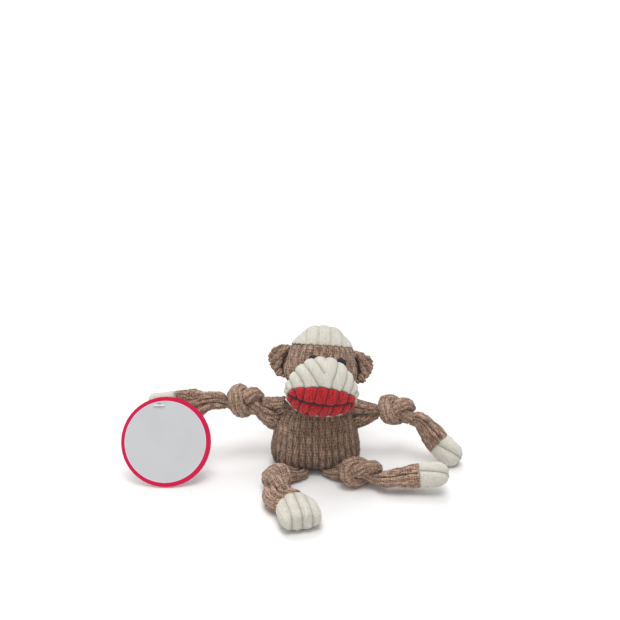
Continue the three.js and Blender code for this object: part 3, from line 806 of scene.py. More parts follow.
@dataclass(frozen=True)
class Corduroy:
    """Pile cloth: heathered yarn, dark grooves and soft sheen."""

    slot: Slot
    light: tuple[int, int, int]
    middle: tuple[int, int, int]
    dark: tuple[int, int, int]
    groove: tuple[int, int, int]
    streak: float
    stitches: float
    bump: float
    shade: float
    strand_scale: Point = (7.0, 1.1, 1.0)
    speck_scale: Point = (9.0, 7.5, 1.0)
    wander: float = 16.0
    heather: float = 3.6
    rungs: float = 0.3
    patches: float = 0.6
    # How much a pile value above one lightens the tone, which is painted light.
    lift: float = 0.7
    fall: float = 2.2

    def make(self) -> bpy.types.Material:
        """Builds the material.

        Returns:
            The material.
        """
        finish = Finish(self.slot.value)
        chart = finish.node("UVMap", {"uv_map": "cloth"}, 0)
        pile = finish.node("Attribute", {"attribute_name": "pile"}, "Fac")
        long = finish.node("Mapping", {}, 0, Vector=chart, Scale=self.strand_scale)
        short = finish.node("Mapping", {}, 0, Vector=chart, Scale=self.speck_scale)
        strands = finish.node("TexNoise", {}, 0, Vector=long, Scale=1.0, Detail=3.0, Roughness=0.6)
        specks = finish.node("TexNoise", {}, 0, Vector=short, Scale=1.0, Detail=2.0, Roughness=0.7)
        place = finish.node("TexCoord", {}, "Object")
        patches = finish.node("TexNoise", {}, 0, Vector=place, Scale=90.0, Detail=2.0)
        down = finish.node("SeparateXYZ", {}, 1, Vector=chart)
        rungs = (down * (self.stitches * 2 * math.pi) + specks * self.wander).sin() * 0.5 + 0.5
        yarn = self.heather * self.streak
        tone = 0.5 + (strands - 0.5) * yarn + (specks - 0.5) * yarn
        tone = tone + (rungs - 0.5) * (self.rungs * self.streak) + (patches - 0.5) * self.patches
        # Painted light: a pile value above one lightens the tone.
        tone = tone + (pile - 1.0).at_least(0.0) * self.lift
        low = finish.mix((tone * 2.0).held(), colour(*self.dark), colour(*self.middle))
        both = finish.mix((tone * 2.0 - 1.0).held(), low, colour(*self.light))
        # Low pile values mix in the groove colour: the darker ground cloth between the wales,
        # deepened by painted shade in the grooves, and the painted shade wherever other code lowers
        # the pile value.
        depth = (1.0 - pile).at_least(0.0) ** self.fall
        skin = finish.mix((depth * self.shade).at_most(1.0), both, colour(*self.groove))
        relief = strands * 0.5 + specks * 0.9 + rungs * 0.35
        normal = finish.node("Bump", {}, 0, Strength=self.bump, Distance=0.0006, Height=relief)
        finish.set(Base_Color=skin, Roughness=0.95, Normal=normal)
        finish.set(Sheen_Weight=0.25, Sheen_Roughness=0.6, Specular_IOR_Level=0.15)
        return finish.material


@dataclass(frozen=True)
class Plain:
    """Thread, fibre, plastic or card: one colour with fine grain."""

    slot: Slot
    base: tuple[int, int, int]
    shade: tuple[int, int, int]
    grain: float
    roughness: float
    bump: float

    def make(self) -> bpy.types.Material:
        """Builds the material.

        Returns:
            The material.
        """
        finish = Finish(self.slot.value)
        place = finish.node("TexCoord", {}, "Object")
        grain = finish.node("TexNoise", {}, 0, Vector=place, Scale=self.grain, Detail=3.0)
        skin = finish.mix(grain, colour(*self.shade), colour(*self.base))
        normal = finish.node("Bump", {}, 0, Strength=self.bump, Distance=0.0003, Height=grain)
        finish.set(Base_Color=skin, Roughness=self.roughness, Normal=normal)
        return finish.material


@dataclass(frozen=True)
class PrintedCard:
    """Round card: silver-grey face and a printed ring."""

    centre: Point
    ring: float
    line: float
    edge: float = 12000.0

    def make(self) -> bpy.types.Material:
        """Builds the material.

        Returns:
            The material.
        """
        finish = Finish(Slot.CARD.value)
        place = finish.node("TexCoord", {}, "Object")
        measure = {"operation": "DISTANCE"}
        away = finish.node("VectorMath", measure, "Value", _0=place, _1=self.centre)
        printed = ((away - self.ring) * self.edge).held()
        pale = ((away - self.line) * self.edge).held()
        cloud = finish.node("TexNoise", {}, 0, Vector=place, Scale=60.0, Detail=2.0)
        fibre = finish.node("TexNoise", {}, 0, Vector=place, Scale=2600.0, Detail=2.0)
        face = finish.mix(cloud, colour(196, 197, 199), colour(206, 207, 209))
        rim = finish.mix(pale, face, colour(206, 214, 230))
        skin = finish.mix(printed, rim, colour(206, 8, 66))
        normal = finish.node("Bump", {}, 0, Strength=0.08, Distance=0.0002, Height=fibre)
        finish.set(Base_Color=skin, Roughness=0.5, Normal=normal, Specular_IOR_Level=0.25)
        return finish.material


@dataclass
class Wardrobe:
    """All the finishes, one for each slot."""

    made: dict[Slot, bpy.types.Material] = field(default_factory=dict)

    def fill(self) -> None:
        """Builds each material once."""
        for finish in (
            Corduroy(
                Slot.BROWN,
                light=(215, 180, 154),
                middle=(153, 120, 101),
                dark=(94, 69, 54),
                groove=(60, 42, 32),
                streak=1.0,
                stitches=2.6,
                bump=0.9,
                shade=0.7,
            ),
            Corduroy(
                Slot.CREAM,
                light=(216, 213, 203),
                middle=(206, 202, 191),
                dark=(188, 183, 169),
                groove=(134, 131, 108),
                streak=0.45,
                stitches=6.0,
                bump=0.4,
                shade=0.9,
            ),
            Corduroy(
                Slot.RED,
                light=(210, 30, 40),
                middle=(185, 17, 27),
                dark=(142, 8, 16),
                groove=(62, 4, 8),
                streak=0.8,
                stitches=6.0,
                bump=0.9,
                shade=1.0,
            ),
            Plain(Slot.BLACK, (26, 28, 33), (12, 13, 17), 1500.0, 0.7, 0.6),
            Plain(Slot.FILL, (246, 244, 238), (226, 223, 214), 700.0, 1.0, 1.0),
            Plain(Slot.SQUEAKER, (226, 229, 231), (214, 217, 220), 300.0, 0.4, 0.1),
            Plain(Slot.CLEAR, (222, 226, 229), (208, 212, 216), 900.0, 0.25, 0.05),
        ):
            self.made[finish.slot] = finish.make()
        self.made[Slot.CARD] = Tag().finish()

    def dress(self, piece: bpy.types.Object, slot: Slot) -> None:
        """Gives a piece its material.

        Args:
            piece: The object.
            slot: The slot that it takes its finish from.
        """
        piece.data.materials.clear()
        piece.data.materials.append(self.made[slot])


WARDROBE = Wardrobe()


def settle(
    piece: bpy.types.Object,
    slot: Slot,
    body: str,
    nodes: Sequence[str],
) -> None:
    """Dresses a finished piece and puts it on its body.

    Args:
        piece: The object.
        slot: Where its finish comes from.
        body: The body that it rides on.
        nodes: The CAD nodes that it stands for.
    """
    WARDROBE.dress(piece, slot)
    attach(piece, body)
    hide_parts(*nodes)
    LOG.info("%s: %d faces on %s", piece.name, len(piece.data.polygons), body)


def settle_blend(
    piece: bpy.types.Object,
    slot: Slot,
    bodies: tuple[str, str],
    start: Array,
    end: Array,
    nodes: Sequence[str],
) -> None:
    """Dresses a piece that lies across a joint; it is left on no body.

    Args:
        piece: The object.
        slot: Where its finish comes from.
        bodies: The bodies on either side.
        start: Where it leaves the first, in millimetres; not used.
        end: Where it fully follows the second; not used.
        nodes: The CAD nodes that it stands for.
    """
    WARDROBE.dress(piece, slot)
    tuple(start * MM)
    tuple(end * MM)
    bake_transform(piece)
    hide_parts(*nodes)
    LOG.info("%s: %d faces between %s", piece.name, len(piece.data.polygons), bodies)


# ---------------------------------------------------------------- torso


@dataclass
class Torso:
    """Sack of brown corduroy: two panels and their filling; the squeaker inside is dressed in main.
    """

    length: float = 38.5
    half_width: float = 28.5
    half_depth: float = 25.0
    forward: float = 1.5
    recline: float = 18.0
    sink: float = 0.5
    sag_forward: float = 6.0
    sag_depth: float = 0.2
    sag_size: Point = (9.0, 9.0, 22.0)
    # Height over which the painted shade at the sack's bottom fades out, in millimetres.
    painted_shade_height: float = 24.0
    belly: float = 0.28
    thinning: float = 0.48
    width_round: float = 3.6
    depth_round: float = 2.2
    section_round: float = 2.3
    neck: Point = (1.6, 7.4, 37.0)
    neck_radius: float = 9.0
    seam_lean: float = 40.0
    seam_forward: float = 21.0
    seam_tuck: float = 0.7
    wall: float = 1.3
    fill: float = 0.7
    wales: int = 34
    rows: int = 170

    def back_at(self, height: Array) -> Array:
        """How far back the middle lies at heights."""
        sag = self.sag_forward * (1 - height / self.length) ** 2
        return height * math.tan(math.radians(self.recline)) - self.forward - sag

    def width_at(self, height: Array, inset: float) -> Array:
        """Half the width at heights.

        Args:
            height: Heights over the floor.
            inset: How far the sack is drawn in.

        Returns:
            Half widths.
        """
        share = height / self.length
        swell = 1 + self.belly * (1 - share) ** 3
        return (self.half_width - inset) * swell * fullness(2 * share - 1, self.width_round)

    def depth_at(self, height: Array, inset: float) -> Array:
        """Half the depth at heights.

        Args:
            height: Heights over the floor.
            inset: How far the sack is drawn in.

        Returns:
            Half depths.
        """
        share = height / self.length
        thin = 1 - self.thinning * share + self.sag_depth * (1 - share) ** 2
        return (self.half_depth - inset) * thin * fullness(2 * share - 1, self.depth_round)

    def holds(self, points: Array, grow: float) -> Array:
        """Whether points lie inside the sack.

        Args:
            points: The points.
            grow: How far the sack is let out first.

        Returns:
            A yes or no for each point.
        """
        height = np.clip(points[..., 2], 1e-3, self.length - 1e-3)
        wide = np.maximum(self.width_at(height, -grow), 1e-3)
        deep = np.maximum(self.depth_at(height, -grow), 1e-3)
        across = np.abs(points[..., 0] / wide) ** self.section_round
        back = np.abs((points[..., 1] - self.back_at(height)) / deep) ** self.section_round
        return (across + back < 1) & (points[..., 2] < self.length)

    def form(self, rows: int, cols: int, inset: float) -> Skin:
        """The sack's shape.

        Args:
            rows: Points from bottom to top.
            cols: Points round it.
            inset: How far it is drawn in.

        Returns:
            The skin.
        """
        along = pole_to_pole(rows)
        half = self.length / 2
        outer = half * (1 + along)
        height = half + (half - inset) * along - self.sink * (1 - along) / 2
        turns = even_turns(cols, self.half_width, self.half_depth * 0.7, self.section_round)
        across, back = oval(turns[None], self.section_round)
        x = self.width_at(outer, inset) * across
        y = self.back_at(outer) + self.depth_at(outer, inset) * back
        points = np.stack(np.broadcast_arrays(x, y, height), axis=-1)
        return Skin.round(points, walk(steps(points).mean(1)), self.wales)

    def build(self) -> None:
        """Makes the two panels and the filling."""
        skin = SIMULATION.swell(self.form(self.rows, self.wales * FINE_COLUMNS, CLOTH_INSET))
        lean = math.radians(self.seam_lean)
        ahead = vec(0, -math.cos(lean), math.sin(lean))
        seam = vec(0, -self.seam_forward, 0)
        share = skin.points[..., 2] / self.length
        sag = NOISE.at(skin.points, self.sag_size) * 0.9 * (1 - share)
        sag = sag + NOISE.at(skin.points, 6) * 0.35
        skin.push(sag - 0.3)
        off = np.abs((skin.points - seam) @ ahead)
        skin.raise_pile(BROWN_WEAVE, 1 - 0.6 * hump(off, 1.4))
        skin.push(-self.seam_tuck * hump(off, 1.1))
        # Painted shade: lower down the pile value drops, darkening the sack towards the floor;
        # higher up the grooves are drawn softer.
        shade = hump(skin.points[..., 2], self.painted_shade_height)
        skin.rib = 1 - (1 - skin.rib) * (0.78 - 0.45 * shade) - 0.9 * shade
        skin.keep_off(np.array(self.neck), self.neck_radius - 0.3).on_floor()
        for name, side in (("torso_front_panel", 1), ("torso_back_panel", -1)):
            panel = skin.build(name + "_cloth", BROWN_WEAVE.wale)
            cut(panel, seam + ahead * (0.1 * side), -ahead * side)
            thicken(panel, self.wall)
            settle(panel, Slot.BROWN, "torso", [name])
        filling = self.form(40, 64, 4.4).on_floor(3.4)
        filling.push(NOISE.at(filling.points, 4.0) * 0.25)
        made = filling.build("torso_filling", CHART)
        settle(made, Slot.FILL, "torso", ["torso_stuffing"])


# ---------------------------------------------------------------- head


@dataclass
class Head:
    """Head and its cap, in its own leaning axes."""

    half_width: float = 23.0
    half_depth: float = 22.0
    half_height: float = 27.0
    cap_edge: float = 12.5
    tilt: float = 26.0
    roll: float = 4.5
    rise: float = 31.0
    head_round: float = 2.25
    section_round: float = 2.3
    cheek: float = 3.2
    seam_tuck: float = 0.6
    wall: float = 1.2
    cap_wall: float = 1.1
    cap_rows: int = 230
    cap_inset: float = 1.7
    cap_pile: Flat = (0.36, 0.46)
    fill: float = 0.8
    wales: int = 30
    rows: int = 170
    axes: Axes = field(init=False)
    neck: Array = field(init=False)

    def __post_init__(self) -> None:
        """Works out the leaning axes."""
        lean, turn = -math.radians(self.tilt), math.radians(self.roll)
        about_x = np.array(
            [[1, 0, 0], [0, math.cos(lean), -math.sin(lean)], [0, math.sin(lean), math.cos(lean)]]
        )
        about_y = np.array(
            [[math.cos(turn), 0, math.sin(turn)], [0, 1, 0], [-math.sin(turn), 0, math.cos(turn)]]
        )
        side, back, up = (about_y @ about_x).T
        self.neck = np.array(Torso().neck)
        self.axes = Axes(self.neck + up * self.rise, side, up, back)

    def holds(self, points: Array, grow: float) -> Array:
        """Whether points lie inside the head.

        Args:
            points: The points.
            grow: How far the head is let out first.

        Returns:
            A yes or no for each point.
        """
        spots = self.axes.local(points)
        full = fullness(spots[..., 2] / (self.half_height + grow), self.head_round)
        full = np.maximum(full, 1e-3)
        across = np.abs(spots[..., 0] / ((self.half_width + grow) * full)) ** self.section_round
        back = np.abs(spots[..., 1] / ((self.half_depth + grow) * full)) ** self.section_round
        return (across + back < 1) & (np.abs(spots[..., 2]) < self.half_height)

    def form(self, rows: int, cols: int, inset: float) -> Skin:
        """The head's egg shape.

        Args:
            rows: Points from chin to crown.
            cols: Points round it.
            inset: How far it is drawn in.

        Returns:
            The skin.
        """
        along = pole_to_pole(rows)
        full = fullness(along, self.head_round)
        turns = even_turns(cols, self.half_width, self.half_depth, self.section_round)
        across, back = oval(turns[None], self.section_round)
        x = (self.half_width - inset) * full * across
        y = (self.half_depth - inset) * full * back
        points = self.axes.place(x, y, (self.half_height - inset) * along)
        return Skin.round(points, walk(steps(points).mean(1)), self.wales)

    def build(self) -> None:
        """Makes the face panel, the back panel, the cap and the filling."""
        skin = SIMULATION.swell(self.form(self.rows, self.wales * FINE_COLUMNS, CLOTH_INSET))
        spots = self.axes.local(skin.points)
        cheek = np.exp(-(((spots[..., 2] + 8) / 8) ** 2) - ((spots[..., 1] + 8) / 7) ** 2)
        skin.points += self.axes.side * (self.cheek * cheek * np.tanh(spots[..., 0] / 6))[..., None]
        skin.push(NOISE.at(skin.points, 11) * 0.5 - 0.2)
        spots = self.axes.local(skin.points)
        seams = hump(spots[..., 1], 1.1) + hump(spots[..., 2] - self.cap_edge, 1.2)
        skin.raise_pile(BROWN_WEAVE, np.clip(1 - 0.6 * seams, 0, 1))
        skin.push(-self.seam_tuck * np.clip(seams, 0, 1))
        skin.keep_off(self.neck, Torso.neck_radius + 0.3)
        height = self.axes.local(skin.points)[..., 2]
        below = height < self.cap_edge + self.wave(skin.wales)
        for name, side in (("face_panel", -1), ("head_back_panel", 1)):
            panel = skin.build(name + "_cloth", BROWN_WEAVE.wale, (True, False), below)
            cut(panel, self.axes.place(0, 0.1 * side, 0), -self.axes.way * side)
            thicken(panel, self.wall)
            settle(panel, Slot.BROWN, "head", [name])
        self.build_cap()
        filling = self.form(36, 56, 2.5).keep_off(self.neck, Torso.neck_radius + 1.8)
        self.slope(filling)
        filling.push(NOISE.at(filling.points, 4.0) * 0.2)
        made = filling.build("head_filling", CHART)
        settle(made, Slot.FILL, "head", ["head_stuffing"])

    @staticmethod
    def wave(wales: Array) -> Array:
        """How far each brown wale reaches up over the cap's seam."""
        return 0.7 * BROWN_WEAVE.rib(wales) - 0.3

    def slope(self, skin: Skin) -> None:
        """Slopes the crown's sides, which stand out a little at the cap's seam.

        Args:
            skin: The skin to shape.
        """
        spots = self.axes.local(skin.points)
        height = spots[..., 2] - self.cap_edge
        aside = np.tanh(spots[..., 0] / 8) * (height > -1.5)
        out = 1.1 * hump(height, 2.4) - 1.5 * hump(height - 7.2, 3.2)
        skin.points = skin.points + self.axes.side * (out * aside)[..., None]

    def build_cap(self) -> None:
        """Makes the cream crown, from its seam up."""
        cols = self.wales * FINE_COLUMNS
        skin = SIMULATION.swell(self.form(self.cap_rows, cols, self.cap_inset))
        self.slope(skin)
        spots = self.axes.local(skin.points)
        brown = skin.wales
        skin.wales = spots[..., 0] / CAP_WEAVE.wale + 0.42 + 0.03 * NOISE.at(spots, 9)
        skin.run = spots[..., 1] - spots[..., 2]
        skin.turn = 0.0
        height = spots[..., 2] - self.cap_edge
        ends = np.sqrt(np.clip((height + 0.3) / 2.2, 0, 1))
        skin.push(NOISE.at(skin.points, 6) * 0.5 - 0.2)
        skin.raise_pile(CAP_WEAVE, ends)
        skin.rib = self.cap_pile[0] + self.cap_pile[1] * skin.rib
        above = height > self.wave(brown) + 0.1
        cap = skin.build("crown_cap_cloth", CREAM_WEAVE.wale, (False, True), above)
        thicken(cap, self.cap_wall)
        settle(cap, Slot.CREAM, "head", ["crown_cap"])


@dataclass
class Muzzle:
    """Cream muzzle with its red lips and the stitched mouth, in the head's axes."""

    # Lines across the face, as corners across and up: the mouth and the lips' outer edges.
    MOUTH = (
        (-30, -19), (-22, -21.5), (-17.9, -23.6), (-10.4, -26),
        (-1, -27), (8.3, -27.2), (17, -25.4), (30, -22),
    )
    TOP = (
        (-30, -22), (-22.6, -21.4), (-19, -17.8), (-10, -16.2), (0, -15.2),
        (9, -16.4), (17, -18), (23.4, -20.6), (30, -23),
    )
    BOTTOM = (
        (-30, -22), (-22.6, -24.8), (-19, -29.0), (-12, -33.2), (-2, -35.0),
        (9, -34.0), (17, -31.4), (23.4, -28.0), (30, -24),
    )
    # Places across where two lobes of a lip's edge meet.
    TOP_CUSPS = (-24.0, -17.8, -10.6, -2.6, 5.0, 11.9, 17.9, 24.4)
    BOTTOM_CUSPS = (-24.0, -20.2, -14.8, -8.4, -1.5, 6.0, 13.5, 19.4, 25.0)
    # Grooves between the wales, as corners across and up.
    CREAM_GROOVES = (
        ((-8.6, 6.0), (-5.2, 1.7), (-2.1, -2.3), (1.1, -6.4)),
        ((-17.0, 3.4), (-12.6, -1.2), (-8.5, -5.8), (-4.9, -10.5), (-1.6, -15.6)),
        ((-22.4, -2.4), (-18.1, -6.3), (-14.9, -9.6), (-12.0, -14.0), (-11.0, -18.0)),
        ((-25.6, -7.0), (-21.9, -11.6), (-20.2, -14.1), (-18.4, -18.6)),
        ((10.2, 2.8), (9.6, -2.2), (8.8, -5.9), (7.3, -10.0), (6.2, -17.0)),
        ((17.0, -1.8), (16.3, -6.5), (15.9, -10.1), (14.5, -14.2), (13.4, -18.0)),
        ((22.4, -6.0), (21.2, -11.2), (20.8, -13.9), (19.1, -18.0)),
        ((1.9, 7.0), (1.9, 2.6)),
        ((-28.0, -15.0), (-22.6, -18.6)),
        ((-28.0, -22.6), (-23.4, -22.8)),
        ((28.0, -12.6), (22.8, -18.4)),
        ((28.0, -20.0), (23.6, -21.8)),
        ((27.0, -27.0), (23.0, -26.0)),
    )
    UPPER_GROOVES = (
        ((-17.6, -14.0), (-17.8, -17.4), (-15.6, -23.0), (-15.0, -27.0)),
        ((-10.4, -14.0), (-11.0, -19.3), (-12.0, -28.0)),
        ((-2.2, -13.0), (-2.8, -17.3), (-4.8, -28.5)),
        ((5.4, -13.0), (4.6, -17.5), (2.8, -28.5)),
        ((12.2, -14.0), (11.2, -19.0), (9.7, -28.0)),
        ((18.4, -16.0), (17.8, -20.7), (16.8, -27.0)),
    )
    LOWER_GROOVES = (
        ((-17.2, -23.0), (-20.4, -29.0)),
        ((-12.0, -25.0), (-15.2, -33.0)),
        ((-5.6, -26.0), (-8.8, -36.0)),
        ((2.3, -26.0), (-2.0, -36.0)),
        ((9.9, -26.0), (5.8, -35.0)),
        ((16.5, -25.0), (13.2, -33.0)),
        ((21.0, -24.0), (19.2, -30.0)),
    )

    # Rounds that find the place across from a height.
    SEARCHES = 12
    COLUMNS = 360
    LIP_COLUMNS = 300
    LIP_ROWS = 70

    head: Head
    half_width: float = 26.0
    aside: float = 0.8
    half_height: float = 20.6
    half_depth: float = 18.0
    drop: float = 15.7
    forward: float = 21.0
    narrowing: float = 0.62
    narrowing_start: float = 0.44
    muzzle_round: float = 2.4
    section_round: float = 2.3
    mouth_middle: float = 0.4
    lip_reach: float = 22.8
    lip_edge: float = 23.0
    lip_inset: float = 0.2
    wall: float = 1.0
    fill: float = 0.8
    thread: float = 0.62
    stitch_ends: Flat = (-21.4, 21.6)
    stitch_length: float = 42.0

    def spot(self, turns: Array, height: Array, inset: float) -> Array:
        """Points of the muzzle from a turn and a height.

        Args:
            turns: Angles round it, in radians.
            height: Heights in the head's axes.
            inset: How far it is drawn in.

        Returns:
            Across, back and up places in the head's axes.
        """
        along = np.clip((height + self.drop) / (self.half_height - inset), -1, 1)
        above = np.maximum(0, (1 + along) / 2 - self.narrowing_start)
        full = fullness(along, self.muzzle_round)
        wide = (self.half_width - inset) * full * (1 - self.narrowing * above)
        across, back = oval(turns, self.section_round)
        x = wide * across + self.aside
        y = (self.half_depth - inset) * full * back - self.forward
        return np.stack(np.broadcast_arrays(x, y, height), axis=-1)

    @staticmethod
    def line(points: Sequence[tuple[float, float]], across: Array) -> Array:
        """Height at places across of a line drawn through corners across and up."""
        drawn = spline(np.array([(x, 0.0, z) for x, z in points]), 200)
        return np.interp(across, drawn[:, 0], drawn[:, 2])

    @staticmethod
    def lobes(cusps: Sequence[float], across: Array) -> Array:
        """Rounded lobes between cusps.

        Args:
            cusps: Where two lobes meet.
            across: Places across.

        Returns:
            Nought at a cusp and one in the middle of a lobe.
        """
        marks = np.array(cusps)
        after = np.clip(np.searchsorted(marks, across), 1, len(marks) - 1)
        share = (across - marks[after - 1]) / (marks[after] - marks[after - 1])
        return np.sqrt(np.clip(4 * share * (1 - share), 0, 1))

    def sky(self, across: Array) -> Array:
        """Height just under the muzzle's top, the same at all places across."""
        return np.full_like(across, self.half_height - self.drop - 0.03)

    def ground(self, across: Array) -> Array:
        """Height just over the muzzle's bottom, the same at all places across."""
        return np.full_like(across, -self.drop - self.half_height + 0.03)

    def mouth(self, across: Array) -> Array:
        """Height of the mouth line at places across."""
        return self.line(self.MOUTH, across)

    def lip_top(self, across: Array) -> Array:
        """Height of the upper lip's edge at places across."""
        return self.line(self.TOP, across) + 1.1 * self.lobes(self.TOP_CUSPS, across) - 0.7

    def lip_bottom(self, across: Array) -> Array:
        """Height of the lower lip's edge at places across."""
        return self.line(self.BOTTOM, across) - 1.7 * self.lobes(self.BOTTOM_CUSPS, across) + 1.1

    def between(
        self,
        low: Callable[[Array], Array],
        high: Callable[[Array], Array],
        turns: Array,
        rows: int,
        inset: float,
        closed: bool,
    ) -> Skin:
        """Skin between two lines across the muzzle.

        Args:
            low: Lower line.
            high: Upper line.
            turns: Angles of its columns, in radians.
            rows: Number of rows.
            inset: How far it is drawn in.
            closed: Whether the last column is next to the first.

        Returns:
            The skin.
        """
        share = np.linspace(0, 1, rows)[:, None]
        across = np.zeros((rows, len(turns)))
        for _ in range(self.SEARCHES):
            height = low(across) * (1 - share) + high(across) * share
            across = self.spot(turns[None], height, inset)[..., 0]
        spots = self.spot(turns[None], height, inset)
        points = self.head.axes.place(spots[..., 0], spots[..., 1], spots[..., 2])
        return Skin(points, spots[..., 0] / CHART, spots[..., 2], closed)

    def build(self) -> None:
        """Makes the muzzle's panels, lips, stitches and filling."""
        full = np.linspace(0, 2 * math.pi, self.COLUMNS, endpoint=False)
        # Each panel's name, lower and upper edge, rows, inset and closed ends.
        for name, low, high, rows, inset, caps in (
            ("muzzle_panel", self.mouth, self.sky, 150, 1.5, (False, True)),
            ("chin_panel", self.ground, self.mouth, 110, 2.1, (True, False)),
        ):
            skin = self.between(low, high, full, rows, inset, True)
            self.plump(skin, CREAM_WEAVE, self.CREAM_GROOVES)
            outside = ~self.head.holds(skin.points, -0.4)
            panel = skin.build(name + "_cloth", CHART, caps, outside)
            thicken(panel, self.wall)
            settle(panel, Slot.CREAM, "head", [name])
        corners = np.linspace(math.pi + 0.16, 2 * math.pi - 0.12, self.LIP_COLUMNS)
        for name, low, high, grooves in (
            ("upper_lip", self.mouth, self.lip_top, self.UPPER_GROOVES),
            ("lower_lip", self.lip_bottom, self.mouth, self.LOWER_GROOVES),
        ):
            skin = self.between(low, high, corners, self.LIP_ROWS, self.lip_inset, False)
            self.plump(skin, RED_WEAVE, grooves, True)
            spots = self.head.axes.local(skin.points)
            kept = np.abs(spots[..., 0] - self.mouth_middle) < self.lip_reach
            lip = skin.build(name + "_cloth", CHART, kept=kept)
            thicken(lip, self.wall)
            settle(lip, Slot.RED, "head", [name])
        self.build_stitches()
        filling = self.between(self.ground, self.sky, full, 40, 4.2, True)
        spots = self.head.axes.local(filling.points)
        height = np.clip(spots[..., 2] / self.head.half_height, -1, 1)
        round_head = fullness(height, self.head.head_round)
        side = np.clip(np.abs(spots[..., 0]) / (self.head.half_width * round_head + 1e-6), 0, 1)
        front = -self.head.half_depth * round_head * fullness(side, self.head.section_round)
        spots[..., 1] = np.minimum(spots[..., 1], front - 0.9)
        filling.points = self.head.axes.place(spots[..., 0], spots[..., 1], spots[..., 2])
        filled = filling.build("muzzle_filling", CHART)
        settle(filled, Slot.FILL, "head", ["muzzle_stuffing"])

    def plump(
        self, skin: Skin, weave: Weave, grooves: Sequence[Sequence[Flat]], lip: bool = False
    ) -> None:
        """Raises a panel's wales between its grooves.

        Args:
            skin: The panel's skin.
            weave: Its cloth.
            grooves: Its grooves, across and up in the head's axes.
            lip: Whether its own edges pull in.
        """
        spots = self.head.axes.local(skin.points)
        flat = spots[..., [0, 2]]
        distance = groove_distance(flat, grooves)
        across, up = flat[..., 0], flat[..., 1]
        outer = np.minimum(self.lip_top(across) - up, up - self.lip_bottom(across))
        outer = np.minimum(outer, self.lip_edge - np.abs(across - self.mouth_middle))
        if lip:
            inner = np.abs(up - self.mouth(across))
            ends = np.sqrt(np.clip(outer / 2.2, 0, 1)) * (0.45 + 0.55 * smooth(inner / 2.6))
        else:
            # Under the lips the panel tucks in and loses its pile; the lower pile value also
            # darkens it along the lips' edge, painted shade where the lips overhang.
            under = smooth((outer + 0.5) / 1.5) * (spots[..., 1] < -self.forward - 2)
            skin.push(-0.6 * under)
            ends = 1 - under
        skin.quilt(weave, distance, ends)
        skin.wales = across / CHART
        skin.run = up

    def build_stitches(self) -> None:
        """Makes the black mouth stitches, which dip at each groove."""
        across = np.linspace(*self.stitch_ends, 240)
        turns = np.linspace(math.pi + 0.05, 2 * math.pi - 0.05, 900)
        height = np.zeros_like(turns)
        for _ in range(self.SEARCHES):
            spots = self.spot(turns, height, -0.45)
            height = self.mouth(spots[:, 0])
        order = np.argsort(spots[:, 0])
        back = np.interp(across, spots[order, 0], spots[order, 1])
        dips = groove_distance(np.stack([across, self.mouth(across)], -1), self.UPPER_GROOVES)
        back = back + 1.9 * hump(dips, 0.8)
        wave = 0.35 * NOISE.at(np.stack([across, across * 0, across * 0], -1), 5)
        path = self.head.axes.place(across, back, self.mouth(across) + wave)
        sides = 14
        grid = tube_grid(path, np.full((len(path), 2), self.thread), 2.0, sides)
        walked = np.linspace(0, self.stitch_length, len(path))[:, None]
        twist = np.linspace(0, 1, sides, endpoint=False)[None]
        skin = Skin(grid, twist * 2 + walked / 1.6, walked + 0 * twist, True, 2)
        skin.rib = BROWN_WEAVE.rib(skin.wales)
        skin.push(skin.rib * 0.16)
        stitches = skin.build("mouth_stitch_thread", THREAD_CHART)
        settle(stitches, Slot.BLACK, "head", ["mouth_stitch"])


@dataclass
class Eye:
    """Embroidered eye, satin stitches on the face."""

    head: Head
    name: str
    across: float
    up: float = 1.7
    radius: float = 3.9
    stand: float = 0.5
    dome: float = 1.05
    thread: float = 0.55
    rings: int = 26
    spokes: int = 96

    def build(self) -> None:
        """Makes the patch of stitches."""
        share = np.linspace(0, 1, self.rings)[:, None]
        turns = np.linspace(0, 2 * math.pi, self.spokes, endpoint=False)[None]
        x = self.across + self.radius * share * np.cos(turns)
        z = self.up + self.radius * share * np.sin(turns)
        full = fullness(z / self.head.half_height, self.head.head_round)
        side = np.clip(np.abs(x) / (self.head.half_width * full), 0, 1)
        y = -self.head.half_depth * full * fullness(side, self.head.section_round)
        dome = self.stand + self.dome * np.sqrt(np.clip(1 - share**3, 0, 1)) + 0 * turns
        threads = 0.12 * np.sin((x + 0.25 * z) * 2 * math.pi / self.thread)
        points = self.head.axes.place(x, y - dome - threads, z)
        skin = Skin(points[::-1], x[::-1] / THREAD_CHART, z[::-1], True, 0)
        made = skin.build(self.name + "_thread", THREAD_CHART)
        settle(made, Slot.BLACK, "head", [self.name])


